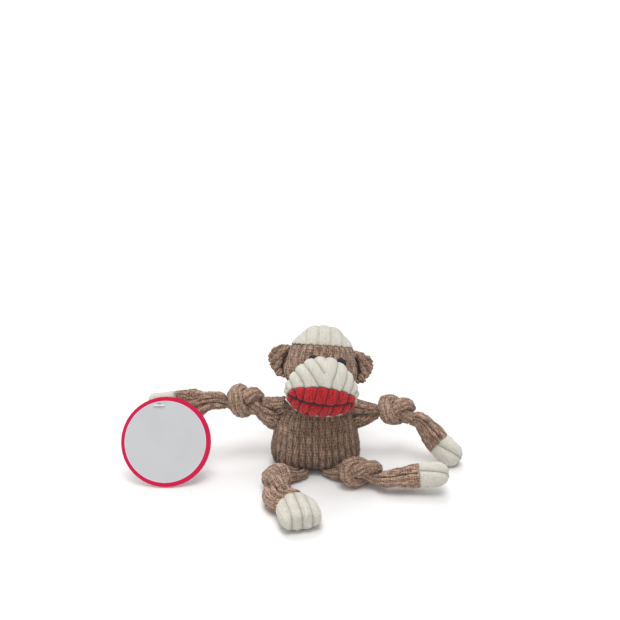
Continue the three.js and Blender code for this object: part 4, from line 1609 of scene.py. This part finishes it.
@dataclass
class Ear:
    """Ear of cloth folded over: a lobe beyond a deep crease."""

    ROOT = ((20.9, -8.5), (21.6, 0.0), (20.6, 9.8))
    CREASE_UP = (0, 0.2, 0.5, 0.8, 1)
    CREASE_OUT = (0.62, 0.5, 0.34, 0.16, 0.06)
    ACROSS = 56
    UP = 130

    head: Head
    side: int
    outline: tuple[Flat, ...]
    plump: float = 4.2
    blend_from: float = 22.2
    blend_to: float = 28.5
    wall: float = 0.25

    def layer(self, front: bool) -> Skin:
        """One layer of the fold.

        Args:
            front: Whether it is the layer that faces the viewer.

        Returns:
            Its skin.
        """
        rim, root = (
            spline(np.array([(x, 0.0, z) for x, z in line]), self.UP)
            for line in (self.outline, self.ROOT)
        )
        share = np.linspace(0, 1, self.ACROSS)[:, None, None]
        flat = root * (1 - share) + rim * share
        rough = NOISE.at(flat + 60 * self.side, 0.9)[..., None] + NOISE.at(flat, 2.6)[..., None]
        flat = flat + 0.95 * rough * share**3 * unit(rim - root)
        share = share[..., 0]
        height = np.linspace(0, 1, self.UP)[None]
        crease = np.interp(height, self.CREASE_UP, self.CREASE_OUT)
        lobe = np.clip((share - crease) / (1 - crease), 0, 1)
        inner = np.clip(1 - share / crease, 0, 1)
        thick = self.plump * np.sin(math.pi * lobe**0.5) ** 0.6 * (0.6 + 0.5 * height)
        thick = thick + 1.2 * inner - 2.2 * hump(share - crease, 0.08)
        thick = thick - 1.6 * lobe * hump(height - 0.55 - 0.1 * lobe, 0.05)
        depth = -(0.25 + thick) + 1.2 * np.sin(math.pi * share) if front else 0.1 + 0.35 * thick
        points = self.head.axes.place(self.side * flat[..., 0], depth, flat[..., 2])
        wales = (flat[..., 0] * 0.75 + flat[..., 2] * 0.65) / BROWN_WEAVE.wale
        order = slice(None, None, -1 if (self.side > 0) == front else 1)
        run = flat[..., 2] - flat[..., 0]
        skin = Skin(points[:, order], wales[:, order], run[:, order], False)
        skin.push(0.5 * NOISE.at(skin.points, 3.5) * np.sin(math.pi * share))
        ends = np.sqrt(np.clip((1 - share) / 0.06, 0, 1)) + 0 * height
        skin.raise_pile(BROWN_WEAVE, ends)
        # Painted shade along the crease: the pile value drops there, below nought, darkening the
        # fold under the lobe.
        fold = hump(share - crease, 0.09)[:, order]
        skin.rib = skin.rib * (1 - fold) - 0.3 * fold
        return skin

    def build(self) -> None:
        """Makes both layers."""
        word = "left" if self.side > 0 else "right"
        start = self.head.axes.place(self.side * self.blend_from, 0, 0)
        end = self.head.axes.place(self.side * self.blend_to, 0, 0)
        for name, front in (("front_layer", True), ("back_layer", False)):
            node = f"{word}_ear_{name}"
            made = self.layer(front).build(node + "_cloth", BROWN_WEAVE.wale)
            thicken(made, self.wall)
            settle_blend(made, Slot.BROWN, ("head", f"{word}_ear"), start, end, [node])


# ---------------------------------------------------------------- limbs


class TightKnot:
    """Overhand knot pulled tight by its ends, worked out once."""

    TURNS = np.array([-2.3, -1.93, -1.73, -1.2, -0.518, 0, 0.518, 1.2, 1.73, 1.93, 2.3])
    LIFTS = np.array([0, 0.7, -0.7, 0, 0.7, 0, -0.7, 0, 0.7, -0.7, 0])
    LOOSE = 0.8
    TAIL = 3.0
    BEADS = 80
    ROUNDS = 800
    SETTLES = 14
    SLACK = 1.01
    PULL = 0.04
    EASE = 0.05
    NEAR = 1.3
    APART = 1.45
    TOUCH = 1.1

    def __init__(self) -> None:
        """Ties and tightens the knot."""
        self.beads = self.tighten(self.start())

    def start(self) -> Array:
        """The loose knot.

        Returns:
            Beads, in strand diameters.
        """
        t = self.TURNS
        guides = np.stack([t**3 - 3 * t, t**4 - 4 * t**2, self.LIFTS / self.LOOSE], 1) * self.LOOSE
        tail = vec(self.TAIL, 0, 0)
        return spline(np.vstack([guides[0] - tail, guides, guides[-1] + tail]), self.BEADS)

    def tighten(self, beads: Array) -> Array:
        """Pulls the ends until the strand holds itself.

        Args:
            beads: The loose knot.

        Returns:
            The beads of the tight part, about the line of its ends.
        """
        rest = steps(beads).sum()
        step = rest / (self.BEADS - 1)
        one, other = np.triu_indices(self.BEADS, math.ceil(self.APART / step))
        for _ in range(self.ROUNDS):
            if steps(beads).sum() < rest * self.SLACK:
                beads[0, 0] -= self.PULL
                beads[-1, 0] += self.PULL
            beads[1:-1] += self.EASE * ((beads[:-2] + beads[2:]) / 2 - beads[1:-1])
            gap = beads[other] - beads[one]
            near = np.nonzero((gap * gap).sum(1) < self.NEAR)[0]
            pairs = list(zip(one[near].tolist(), other[near].tolist()))
            for _ in range(self.SETTLES):
                for first in (0, 1):
                    self.links(beads, first, step)
                beads = self.part(beads, pairs)
        close = np.linalg.norm(beads[other] - beads[one], axis=1) < self.TOUCH
        kept = beads[one[close].min() - 1 : other[close].max() + 2]
        return kept - (kept[0] + kept[-1]) / 2

    def links(self, beads: Array, first: int, step: float) -> None:
        """Brings every other pair of neighbours to their distance.

        Args:
            beads: The chain, changed in place.
            first: Which pairs.
            step: The distance.
        """
        low = np.arange(first, self.BEADS - 1, 2)
        gap = beads[low + 1] - beads[low]
        length = np.linalg.norm(gap, axis=1)
        move = gap * ((length - step) / (2 * length))[:, None]
        beads[low] += move * (low != 0)[:, None]
        beads[low + 1] -= move * (low + 1 != self.BEADS - 1)[:, None]

    @staticmethod
    def part(beads: Array, pairs: list[tuple[int, int]]) -> Array:
        """Moves strands apart that would lie in each other.

        Args:
            beads: The chain.
            pairs: Beads that are near each other.

        Returns:
            The moved chain.
        """
        rows = beads.tolist()
        for one, other in pairs:
            low, high = rows[one], rows[other]
            gap = [high[axis] - low[axis] for axis in range(3)]
            square = sum(value * value for value in gap)
            if square < 1:
                length = math.sqrt(square)
                share = (length - 1) / (2 * length)
                for axis in range(3):
                    low[axis] += gap[axis] * share
                    high[axis] -= gap[axis] * share
        return np.array(rows)


@dataclass(frozen=True)
class Stretch:
    """Straight stretch of a limb: degrees from plus X, degrees above the floor, millimetres."""

    bearing: float
    climb: float
    length: float = 0.0

    @property
    def way(self) -> Array:
        """Its direction, of length one."""
        turn, rise = math.radians(self.bearing), math.radians(self.climb)
        return vec(math.cos(rise) * math.cos(turn), math.cos(rise) * math.sin(turn), math.sin(rise))


@dataclass(frozen=True)
class Fold:
    """Crease along a tube: where it lies round it, how deep and how wide."""

    turn: float
    depth: float
    width: float
    drift: float = 0.0


@dataclass
class Limb:
    """Arm or leg: upper tube, knot, lower tube, and the paw with its filling.

    The upper and the lower tube give their names to the two bodies that the knot and the paw ride
    on.
    """

    UPPER_WALES = 12
    UPPER_ROWS = 90
    KNOT_WALES = 8
    KNOT_COLUMNS = 11
    KNOT_ROWS = 190
    LOWER_WALES = 11
    LOWER_ROWS = 110
    PAW_WALES = 6
    PAW_GRID = (120, 200)
    FILLING_GRID = (24, 40)
    FATNESS = 1.3
    OVERLAP = 1.2
    VIEWER = (0, -0.82, 0.57)

    # The pieces from the torso outwards, and the middle of the limb's first joint.
    names: tuple[str, str, str, str]
    root: Point
    # The upper tube: its run, its wide mouth in the torso, its end at the knot and its folds.
    upper: Stretch
    mouth_half: Flat
    mouth_shift: Point
    upper_cuff: Flat
    upper_folds: tuple[Fold, ...]
    # The knot: its run, how thick its strand is, which way it bulges and how flat it lies.
    knot: Stretch
    strand: float
    bulk_turn: float
    knot_flat: float
    # The lower tube: its run, its ends at the knot and at the paw, and its folds.
    lower: Stretch
    lower_cuff: Flat
    lower_half: Flat
    lower_folds: tuple[Fold, ...]
    # The paw: how the wrist sets off, its run, its half sizes, its grooves and how square it is.
    wrist: Stretch
    paw: Stretch
    paw_half: Flat
    paw_lines: tuple[float, ...]
    square: float
    # Small moves of single places, which most limbs have only a few of.
    root_lift: float = 0.0
    upper_lift: float = 0.0
    knot_move: Point = (0.0, 0.0, 0.0)
    knot_sits: bool = False
    lower_move: Point = (0.0, 0.0, 0.0)
    bend: Point = (0.0, 0.0, 0.0)
    cuff: Point = (0.0, 0.0, 0.0)
    belly: float = 0.0
    roll_share: float = 1.0
    line_turn: float = 0.0
    rim_at: float = 0.0
    # What all four limbs share.
    root_radius: float = 4.6
    elbow_gap: float = 0.8
    seam: float = 0.3
    # Painted light on the knot and the lower tube, which come out lighter than the upper tube, as
    # if lit from above.
    painted_light: float = 0.22
    wall: float = 0.9
    fill: float = 0.7
    beads: Array = field(init=False)
    upper_end: Array = field(init=False)
    pivot: Array = field(init=False)
    palm: Array = field(init=False)

    def lay_out(self, shape: Array) -> None:
        """Finds where each stretch starts and ends.

        Args:
            shape: The tight knot's beads.
        """
        self.upper_end = np.array(self.root) + self.upper.way * self.upper.length
        entry = self.upper_end + self.knot.way * self.seam
        axes = Axes.along(entry, self.knot.way)
        turn = math.radians(self.bulk_turn)
        aside = shape[:, 2] * math.cos(turn) - shape[:, 1] * math.sin(turn)
        up = -shape[:, 2] * math.sin(turn) - shape[:, 1] * math.cos(turn)
        along = shape[:, 0] - shape[0, 0]
        self.beads = axes.place(aside * self.strand, along * self.strand, up * self.strand)
        self.pivot = self.beads[-1] + self.knot.way * (self.elbow_gap + self.root_radius)
        lower_end = self.pivot + self.lower.way * self.lower.length
        self.palm = lower_end + self.wrist.way * self.seam + np.array(self.cuff)

    def facing(self, way: Array) -> float:
        """Turn that lays a tube's broad side towards the viewer, or a share of it.

        Args:
            way: The tube's direction.

        Returns:
            The turn, in degrees.
        """
        axes = Axes.along(np.zeros(3), way)
        turn = math.atan2(-(np.array(self.VIEWER) @ axes.side), np.array(self.VIEWER) @ axes.lift)
        return math.degrees(turn) * self.roll_share

    @staticmethod
    def crease(grid: Array, path: Array, folds: Sequence[Fold]) -> Array:
        """Draws creases into a tube, or bulges where the depth is less than nought.

        Args:
            grid: The tube's points.
            path: Its middle.
            folds: The creases.

        Returns:
            The creased points.
        """
        rows, cols = grid.shape[:2]
        turns = np.linspace(0, 360, cols, endpoint=False)[None]
        share = np.linspace(0, 1, rows)[:, None]
        depth = np.zeros((rows, cols))
        for fold in folds:
            middle = fold.turn + fold.drift * share + 9 * NOISE.at(path + fold.turn, 6)[:, None]
            off = (turns - middle + 180) % 360 - 180
            ease = 0.3 + 0.7 * np.sin(math.pi * np.clip(share, 0.04, 0.96)) ** 0.6
            depth = depth + fold.depth * np.exp(-np.abs(off / fold.width) ** 1.5) * ease
        inward = path[:, None] - grid
        reach = np.linalg.norm(inward, axis=-1, keepdims=True)
        return grid + inward * np.minimum(depth[..., None], 0.8 * reach) / reach

    def tube(
        self, path: Array, halves: Array, roll: float, folds: Sequence[Fold], wales: int
    ) -> Skin:
        """A flat tube of cloth with creases and wales.

        Args:
            path: Its middle.
            halves: Half width and height at each point.
            roll: Turn of its section, in degrees.
            folds: Its creases.
            wales: Wales round it.

        Returns:
            The skin.
        """
        grid = tube_grid(path, halves, 2.2, wales * FINE_COLUMNS, roll)
        grid = self.crease(grid, path, folds)
        skin = SIMULATION.swell(Skin.round(grid, walk(steps(path)), wales))
        skin.push(NOISE.at(skin.points, 5) * 0.4 - 0.3)
        return skin.raise_pile(BROWN_WEAVE)

    def build_upper(self) -> None:
        """Makes the upper tube, wide at the torso and narrow at the knot."""
        rows = self.UPPER_ROWS
        start = np.array(self.root)
        inner = start + np.array(self.mouth_shift)
        end = self.upper_end + self.knot.way * self.OVERLAP + vec(0, 0, self.upper_lift)
        middle = (inner + start) / 2 + vec(0, 0, self.root_lift)
        path = spline(np.vstack([inner, middle, end + np.array(self.knot_move)]), rows)
        share = np.linspace(0, 1, rows)[:, None]
        ease = smooth((share - 0.3) / 0.7)
        halves = np.array([self.mouth_half]) * (1 - ease) + np.array([self.upper_cuff]) * ease
        halves = halves * (1 - 0.14 * smooth((share - 0.86) / 0.14))
        halves = halves * np.sqrt(1 - (1 - np.clip(share / 0.36, 0.06, 1)) ** 2)
        skin = self.tube(path, halves, 0.0, self.upper_folds, self.UPPER_WALES)
        skin.on_floor().hem(False, True, 0.5)
        sack = Torso()
        # Painted shade: the pile value drops in steps close to the torso, darkening each upper tube
        # where it tucks against the sack.
        for near, left in ((0.9, 0.5), (2.2, 0.7), (4.5, 0.85)):
            skin.rib = skin.rib * np.where(sack.holds(skin.points, near), left, 1.0)
        outside = ~sack.holds(skin.points, -5.0)
        piece = skin.build(self.names[0] + "_cloth", BROWN_WEAVE.wale, (True, False), outside)
        thicken(piece, self.wall)
        end = start + self.upper.way
        settle_blend(piece, Slot.BROWN, ("torso", self.names[0]), inner, end, [self.names[0]])

    def build_knot(self) -> None:
        """Makes the knot: a fat tube that flattens where its turns meet."""
        path = spline(self.beads, self.KNOT_ROWS)
        way = unit(np.gradient(path, axis=0))
        side = unit(np.cross(vec(0, 0, 1), way[0]))
        sides = []
        for each in way:
            side = unit(side - (side @ each) * each)
            sides.append(side)
        sides = np.array(sides)
        lifts = np.cross(way, sides)
        cols = self.KNOT_WALES * self.KNOT_COLUMNS
        turns = np.linspace(0, 2 * math.pi, cols, endpoint=False)[None, :, None]
        outs = sides[:, None] * np.cos(turns) + lifts[:, None] * np.sin(turns)
        radius = self.strand / 2 * self.FATNESS
        step = np.linalg.norm(path[1] - path[0])
        reach = int(math.ceil(math.pi * radius / step))
        room = np.full((len(path), cols), radius)
        for place in range(len(path)):
            far = np.abs(np.arange(len(path)) - place) >= reach
            gap = path[far] - path[place]
            length = np.linalg.norm(gap, axis=1)
            facing = outs[place] @ gap.T / length
            halfway = (length - self.seam) / (2 * np.maximum(facing, 0.02))
            limit = np.where(facing > 0.02, halfway, radius)
            room[place] = np.minimum(room[place], limit.min(1))
        squeeze = room / radius
        tuck = np.linspace(0, 1, len(path))
        tuck = 1 - 0.22 * (1 - smooth(np.minimum(tuck, 1 - tuck) / 0.035))
        room = room * tuck[:, None]
        grid = path[:, None] + outs * room[..., None]
        skin = Skin.round(grid, walk(steps(path)), self.KNOT_WALES)
        skin.push((NOISE.at(skin.points, 4) * 0.7 - 0.2) * squeeze**2)
        # Where the knot's turns press together the pile drops and the colour darkens, painted shade
        # in the crevices; painted light then lifts the whole knot's pile value.
        skin.raise_pile(BROWN_WEAVE, np.clip(squeeze, 0, 1) ** 3)
        skin.rib = skin.rib * (0.35 + 0.65 * smooth((squeeze - 0.7) / 0.3)) + self.painted_light
        middle = 0.0 if self.knot_sits else (self.beads[0, 2] + self.beads[-1, 2]) / 2
        skin.points[..., 2] = middle + (skin.points[..., 2] - middle) * self.knot_flat
        skin.points += np.array(self.knot_move)
        skin.on_floor()
        piece = skin.build(self.names[1] + "_cloth", BROWN_WEAVE.wale)
        settle(piece, Slot.BROWN, self.names[0], [self.names[1]])

    def build_lower(self) -> None:
        """Makes the lower tube, from the knot to the paw."""
        rows = self.LOWER_ROWS
        start = self.beads[-1] - self.knot.way * self.OVERLAP
        start = start + np.array(self.knot_move) + np.array(self.lower_move)
        bend = self.pivot + np.array(self.bend)
        path = spline(np.vstack([start, bend, self.palm + self.paw.way * 0.5]), rows)
        share = np.linspace(0, 1, rows)[:, None]
        ease = smooth(share / 0.9)
        halves = np.array([self.lower_cuff]) * (1 - ease) + np.array([self.lower_half]) * ease
        halves = halves * (1 - 0.3 * (1 - smooth(share / 0.12)))
        belly = hump(share - 0.62, 0.2)
        halves = halves + np.array([[self.belly, 0]]) * belly
        path = path + vec(0, 0, -0.7 * self.belly) * belly
        roll = self.facing(self.lower.way)
        skin = self.tube(path, halves, roll, self.lower_folds, self.LOWER_WALES)
        ragged = NOISE.at(skin.points, 1.4) * smooth((share - 0.9) / 0.1)
        skin.points += ragged[..., None] * self.paw.way * 0.8
        # Painted light: the lower tube's pile value is raised, so it reads lighter, as if lit from
        # above.
        skin.rib = skin.rib + self.painted_light
        skin.on_floor().hem(True, True)
        piece = skin.build(self.names[2] + "_cloth", BROWN_WEAVE.wale)
        stop = self.pivot + self.lower.way * 3.0
        bodies = self.names[0], self.names[2]
        settle_blend(piece, Slot.BROWN, bodies, self.beads[-1], stop, [self.names[2]])

    def paw_skin(self, rows: int, cols: int, inset: float) -> Skin:
        """The paw's shape: open at the wrist, full in the middle, round at the tip.

        Args:
            rows: Points along it.
            cols: Points round it.
            inset: How far it is drawn in.

        Returns:
            The skin.
        """
        share = np.sin(math.pi / 2 * np.linspace(0, 0.995, rows))[:, None]
        full = fullness(np.maximum(0, 2 * share - 1), self.square)
        wide = smooth(np.minimum(1, 2.4 * share))
        first = np.array([self.lower_half]) * 0.92 + inset
        halves = (first * (1 - wide) + np.array([self.paw_half]) * wide - inset) * full
        path = self.palm + self.paw.way * (share * (self.paw.length - inset + 0.8) - 0.8)
        grid = tube_grid(path, halves, 2.4, cols, self.facing(self.paw.way))
        return Skin.round(grid, share[:, 0] * self.paw.length, self.PAW_WALES)

    def build_paw(self) -> None:
        """Makes the cream hand or foot and its filling."""
        skin = SIMULATION.swell(self.paw_skin(*self.PAW_GRID, CLOTH_INSET))
        spots = Axes.along(self.palm, self.paw.way).local(skin.points)
        turn = math.radians(self.facing(self.paw.way))
        aside = spots[..., 0] * math.cos(turn) + spots[..., 2] * math.sin(turn)
        up = spots[..., 2] * math.cos(turn) - spots[..., 0] * math.sin(turn)
        lean = math.radians(self.line_turn)
        middle = spots[..., 1] - self.paw.length / 2
        flat = np.stack([aside * math.cos(lean) - middle * math.sin(lean), middle], -1)
        lines = [((line, -40.0), (line, 40.0)) for line in self.paw_lines]
        skin.push((NOISE.at(skin.points, 7) * 0.35 - 0.7) * smooth(spots[..., 1] / 3))
        distance = groove_distance(flat, lines)
        rim = hump(up - self.rim_at, 0.7) * smooth(spots[..., 1] / 5)
        ends = np.sqrt(np.clip(spots[..., 1] / 2.2, 0, 1)) * (1 - 0.5 * rim)
        ends = ends * np.clip(1.05 - 0.1 * np.abs(spots[..., 1]) / self.paw.length, 0, 1)
        skin.quilt(CREAM_WEAVE, distance, ends)
        fringe = rim * (0.9 + 0.9 * NOISE.at(skin.points, 0.8))
        body, name = self.names[2:]
        piece = skin.push(fringe).on_floor().build(name + "_cloth", CHART)
        settle(piece, Slot.CREAM, body, [name])
        filling = self.paw_skin(*self.FILLING_GRID, 2.5).on_floor(2.2)
        made = filling.build(name + "_filling", CHART)
        settle(made, Slot.FILL, body, [name + "_stuffing"])

    def build(self, shape: Array) -> None:
        """Makes the whole limb.

        Args:
            shape: The tight knot's beads.
        """
        self.lay_out(shape)
        self.build_upper()
        self.build_knot()
        self.build_lower()
        self.build_paw()


# ---------------------------------------------------------------- tag


@dataclass
class Tag:
    """Round card tag on a clear plastic pin."""

    radius: float = 30.5
    lean: float = 30.0
    hole_inset: float = 5.4
    hole_aside: float = 4.9
    ring: float = 27.6
    line: float = 27.1
    print_aside: float = -0.5
    pin: Point = (-106.409, -9.692, 48.284)

    def centre(self) -> Array:
        """Middle of the card, which hangs from its pin.

        Returns:
            The point, in millimetres.
        """
        lift = math.sqrt((self.radius - self.hole_inset) ** 2 - self.hole_aside**2)
        lean = math.radians(self.lean)
        hole = vec(-self.hole_aside, lift * math.sin(lean), lift * math.cos(lean))
        return np.array(self.pin) - hole

    def finish(self) -> bpy.types.Material:
        """The card's printed finish."""
        middle = tuple(float(value) * MM for value in self.centre() + vec(self.print_aside, 0, 0))
        return PrintedCard(middle, self.ring * MM, self.line * MM).make()

    def build(self) -> None:
        """Dresses the card and the pin."""
        WARDROBE.dress(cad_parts["tag_card"], Slot.CARD)
        WARDROBE.dress(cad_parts["tag_fastener"], Slot.CLEAR)


# ---------------------------------------------------------------- studio


@dataclass
class Studio:
    """Pale floor, soft lamps and the camera."""

    lens: float = 70.0
    camera_at: Point = (-0.00385, -0.73083, 0.44534)
    pitch: float = 65.684
    sensor: float = 36.0
    floor_size: float = 40.0
    paper: tuple[float, ...] = (0.87, 0.865, 0.86, 1.0)
    even_light: float = 0.36

    def build(self) -> None:
        """Makes the floor, the light and the camera."""
        self.floor()
        self.world()
        self.sun("back_light", tip=-36.0, turn=12.0, spread=40.0, strength=1.3)
        self.sun("top_light", tip=6.0, turn=20.0, spread=34.0, strength=1.35)
        self.sun("fill_light", tip=48.0, turn=-20.0, spread=120.0, strength=0.8)
        view = bpy.data.cameras.new("camera")
        view.lens = self.lens
        view.sensor_width = self.sensor
        view.clip_start = 0.01
        made = bpy.data.objects.new("camera", view)
        made.location = self.camera_at
        made.rotation_euler = (math.radians(self.pitch), 0, 0)
        bpy.context.scene.collection.objects.link(made)
        bpy.context.scene.camera = made

    @staticmethod
    def sun(name: str, tip: float, turn: float, spread: float, strength: float) -> None:
        """Adds a broad soft light from far away.

        Args:
            name: Its name.
            tip: How far it leans from straight down, towards the doll's back, in degrees.
            turn: Its turn about the upright, in degrees.
            spread: How broad it looks, in degrees.
            strength: Its strength.
        """
        light = bpy.data.lights.new(name, "SUN")
        light.energy = strength
        light.angle = math.radians(spread)
        made = bpy.data.objects.new(name, light)
        made.rotation_euler = (math.radians(tip), 0, math.radians(turn))
        bpy.context.scene.collection.objects.link(made)

    def floor(self) -> None:
        """Makes the pale floor, which the lamps bring to white where no shadow falls."""
        bpy.ops.object.select_all(action="DESELECT")
        bpy.ops.mesh.primitive_plane_add(size=self.floor_size, location=(0, 0, 0))
        floor = bpy.context.object
        floor.name = "floor"
        finish = Finish("floor_paper")
        finish.set(Base_Color=self.paper, Roughness=1.0, Specular_IOR_Level=0.0)
        floor.data.materials.append(finish.material)

    def world(self) -> None:
        """Sets the studio's even light, which the camera and reflections see as white."""
        world = bpy.data.worlds.new("studio")
        world.use_nodes = True
        tree = world.node_tree
        rays = tree.nodes.new("ShaderNodeLightPath").outputs
        seen = Wire(tree, rays["Is Camera Ray"])
        for kind in ("Is Glossy Ray", "Is Transmission Ray"):
            seen = seen.at_least(Wire(tree, rays[kind]))
        back = tree.nodes["Background"]
        back.inputs["Color"].default_value = (1, 1, 1, 1)
        strength = seen * (1 - self.even_light) + self.even_light
        tree.links.new(strength.socket, back.inputs["Strength"])
        bpy.context.scene.world = world
        bpy.context.scene.view_settings.view_transform = "Standard"


# ---------------------------------------------------------------- doll

LEG = {
    "mouth_half": (8.0, 3.6),
    "root_lift": -2.4,
    "upper_lift": -1.0,
    "upper_cuff": (6.0, 6.0),
    "upper_folds": (Fold(60, 2.6, 16), Fold(130, 2.6, 16)),
    "knot_sits": True,
}

LIMBS = (
    Limb(
        names=("right_upper_arm", "right_arm_knot", "right_forearm", "right_hand"),
        root=(-32.126, 7.573, 31.0),
        upper=Stretch(197, 30, 7),
        knot=Stretch(188, 20),
        strand=7.4,
        bulk_turn=-25,
        lower=Stretch(182, -1, 28),
        wrist=Stretch(182, -10),
        paw_half=(7.6, 5.6),
        mouth_half=(5.2, 13.0),
        mouth_shift=(17.0, 1.0, 2.4),
        upper_cuff=(6.2, 8.0),
        upper_lift=4.0,
        upper_folds=(Fold(4, 7.0, 13, 22), Fold(-32, -1.6, 20, 20), Fold(150, 3.0, 20)),
        lower_cuff=(5.8, 5.0),
        lower_folds=(Fold(112, 3.2, 11), Fold(68, 3.2, 12), Fold(250, 3.0, 18)),
        lower_half=(7.8, 5.2),
        knot_flat=0.92,
        paw=Stretch(182, -8, 18),
        square=4.0,
        paw_lines=(0.0,),
        belly=2.4,
    ),
    Limb(
        names=("left_upper_arm", "left_arm_knot", "left_forearm", "left_hand"),
        root=(32.126, 7.573, 31.0),
        upper=Stretch(-12, 30, 8.5),
        knot=Stretch(-5, -14),
        strand=7.2,
        bulk_turn=30,
        lower=Stretch(-12, -42, 18),
        wrist=Stretch(-30, -34),
        paw_half=(8.4, 6.4),
        mouth_half=(5.0, 11.0),
        mouth_shift=(-15.0, 1.5, 1.2),
        upper_cuff=(5.4, 6.0),
        upper_folds=(
            Fold(176, 7.0, 14, 10),
            Fold(140, -1.4, 20),
            Fold(214, -1.2, 18),
            Fold(30, 3.0, 20),
        ),
        lower_cuff=(4.6, 4.4),
        lower_folds=(Fold(112, 3.2, 11), Fold(70, 3.2, 12), Fold(250, 3.0, 18)),
        lower_half=(8.2, 5.4),
        knot_move=(2.6, 0.0, 0.0),
        knot_flat=0.84,
        bend=(2.0, 0.0, 0.8),
        cuff=(3.2, -1.6, -2.0),
        square=2.2,
        paw=Stretch(-32, -34, 18.5),
        paw_lines=(0.5,),
        line_turn=16.0,
    ),
    Limb(
        names=("left_thigh", "left_leg_knot", "left_shin", "left_foot"),
        root=(13.0, -22.117, 8.5),
        upper=Stretch(-48, -4, 8),
        knot=Stretch(-22, 0),
        strand=7.2,
        bulk_turn=0,
        lower=Stretch(-2, 9, 20),
        wrist=Stretch(2, 9),
        paw_half=(8.0, 6.4),
        roll_share=0.6,
        mouth_shift=(-2.5, 7.0, -4.2),
        lower_cuff=(5.4, 3.8),
        lower_folds=(Fold(104, 3.0, 11, -16), Fold(60, 2.8, 12), Fold(250, 2.6, 14)),
        lower_half=(7.8, 5.8),
        knot_flat=0.82,
        bend=(0.0, 0.0, 0.6),
        cuff=(2.0, 0.0, 0.8),
        square=2.2,
        paw=Stretch(-2, 6, 19.5),
        paw_lines=(-0.5,),
        line_turn=-8.0,
        **LEG,
    ),
    Limb(
        names=("right_thigh", "right_leg_knot", "right_shin", "right_foot"),
        root=(-13.0, -22.117, 8.5),
        upper=Stretch(222, -3, 14),
        knot=Stretch(255, 0),
        strand=7.2,
        bulk_turn=15,
        lower=Stretch(318, 4, 13),
        wrist=Stretch(312, 0),
        paw_half=(13.4, 7.0),
        roll_share=0.0,
        mouth_shift=(5.0, 6.0, -4.2),
        lower_cuff=(10.4, 7.0),
        lower_folds=(Fold(104, 3.0, 10), Fold(66, 2.6, 12), Fold(140, 2.2, 10), Fold(250, 2.6, 14)),
        lower_half=(9.4, 6.8),
        lower_move=(6.0, 2.4, 0.0),
        knot_flat=0.78,
        bend=(8.4, 0.6, -0.7),
        cuff=(7.4, 4.6, -0.8),
        paw=Stretch(284, 0, 25.5),
        rim_at=-4.0,
        paw_lines=(-6.9, 0.0, 6.9),
        square=4.0,
        **LEG,
    ),
)

EARS = {
    -1: (
        (22.4, -11.0), (27.1, -11.8), (30.8, -9.6), (34.2, -5.7), (35.9, -1.6),
        (36.5, 2.6), (35.1, 6.5), (31.4, 9.6), (26.6, 11.1), (21.8, 10.9),
    ),
    1: (
        (23.4, -10.4), (27.6, -12.3), (31.6, -10.2), (34.5, -5.8), (35.6, -1.5),
        (36.3, 2.8), (34.7, 5.8), (31.1, 8.0), (26.0, 9.8), (21.8, 10.6),
    ),
}


def main() -> None:
    """Builds the doll piece by piece, then the studio."""
    logging.basicConfig(level=logging.INFO, format="%(message)s")
    WARDROBE.fill()
    Torso().build()
    head = Head()
    head.build()
    Muzzle(head).build()
    Eye(head, "right_eye", -6.3).build()
    Eye(head, "left_eye", 12.5, 1.0).build()
    for side in (-1, 1):
        Ear(head, side, EARS[side]).build()
    shape = TightKnot().beads
    for limb in LIMBS:
        limb.build(shape)
    for name in ("torso_squeaker", "torso_squeaker_reed"):
        WARDROBE.dress(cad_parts[name], Slot.SQUEAKER)
    Tag().build()
    Studio().build()


if __name__ == "__main__":
    main()
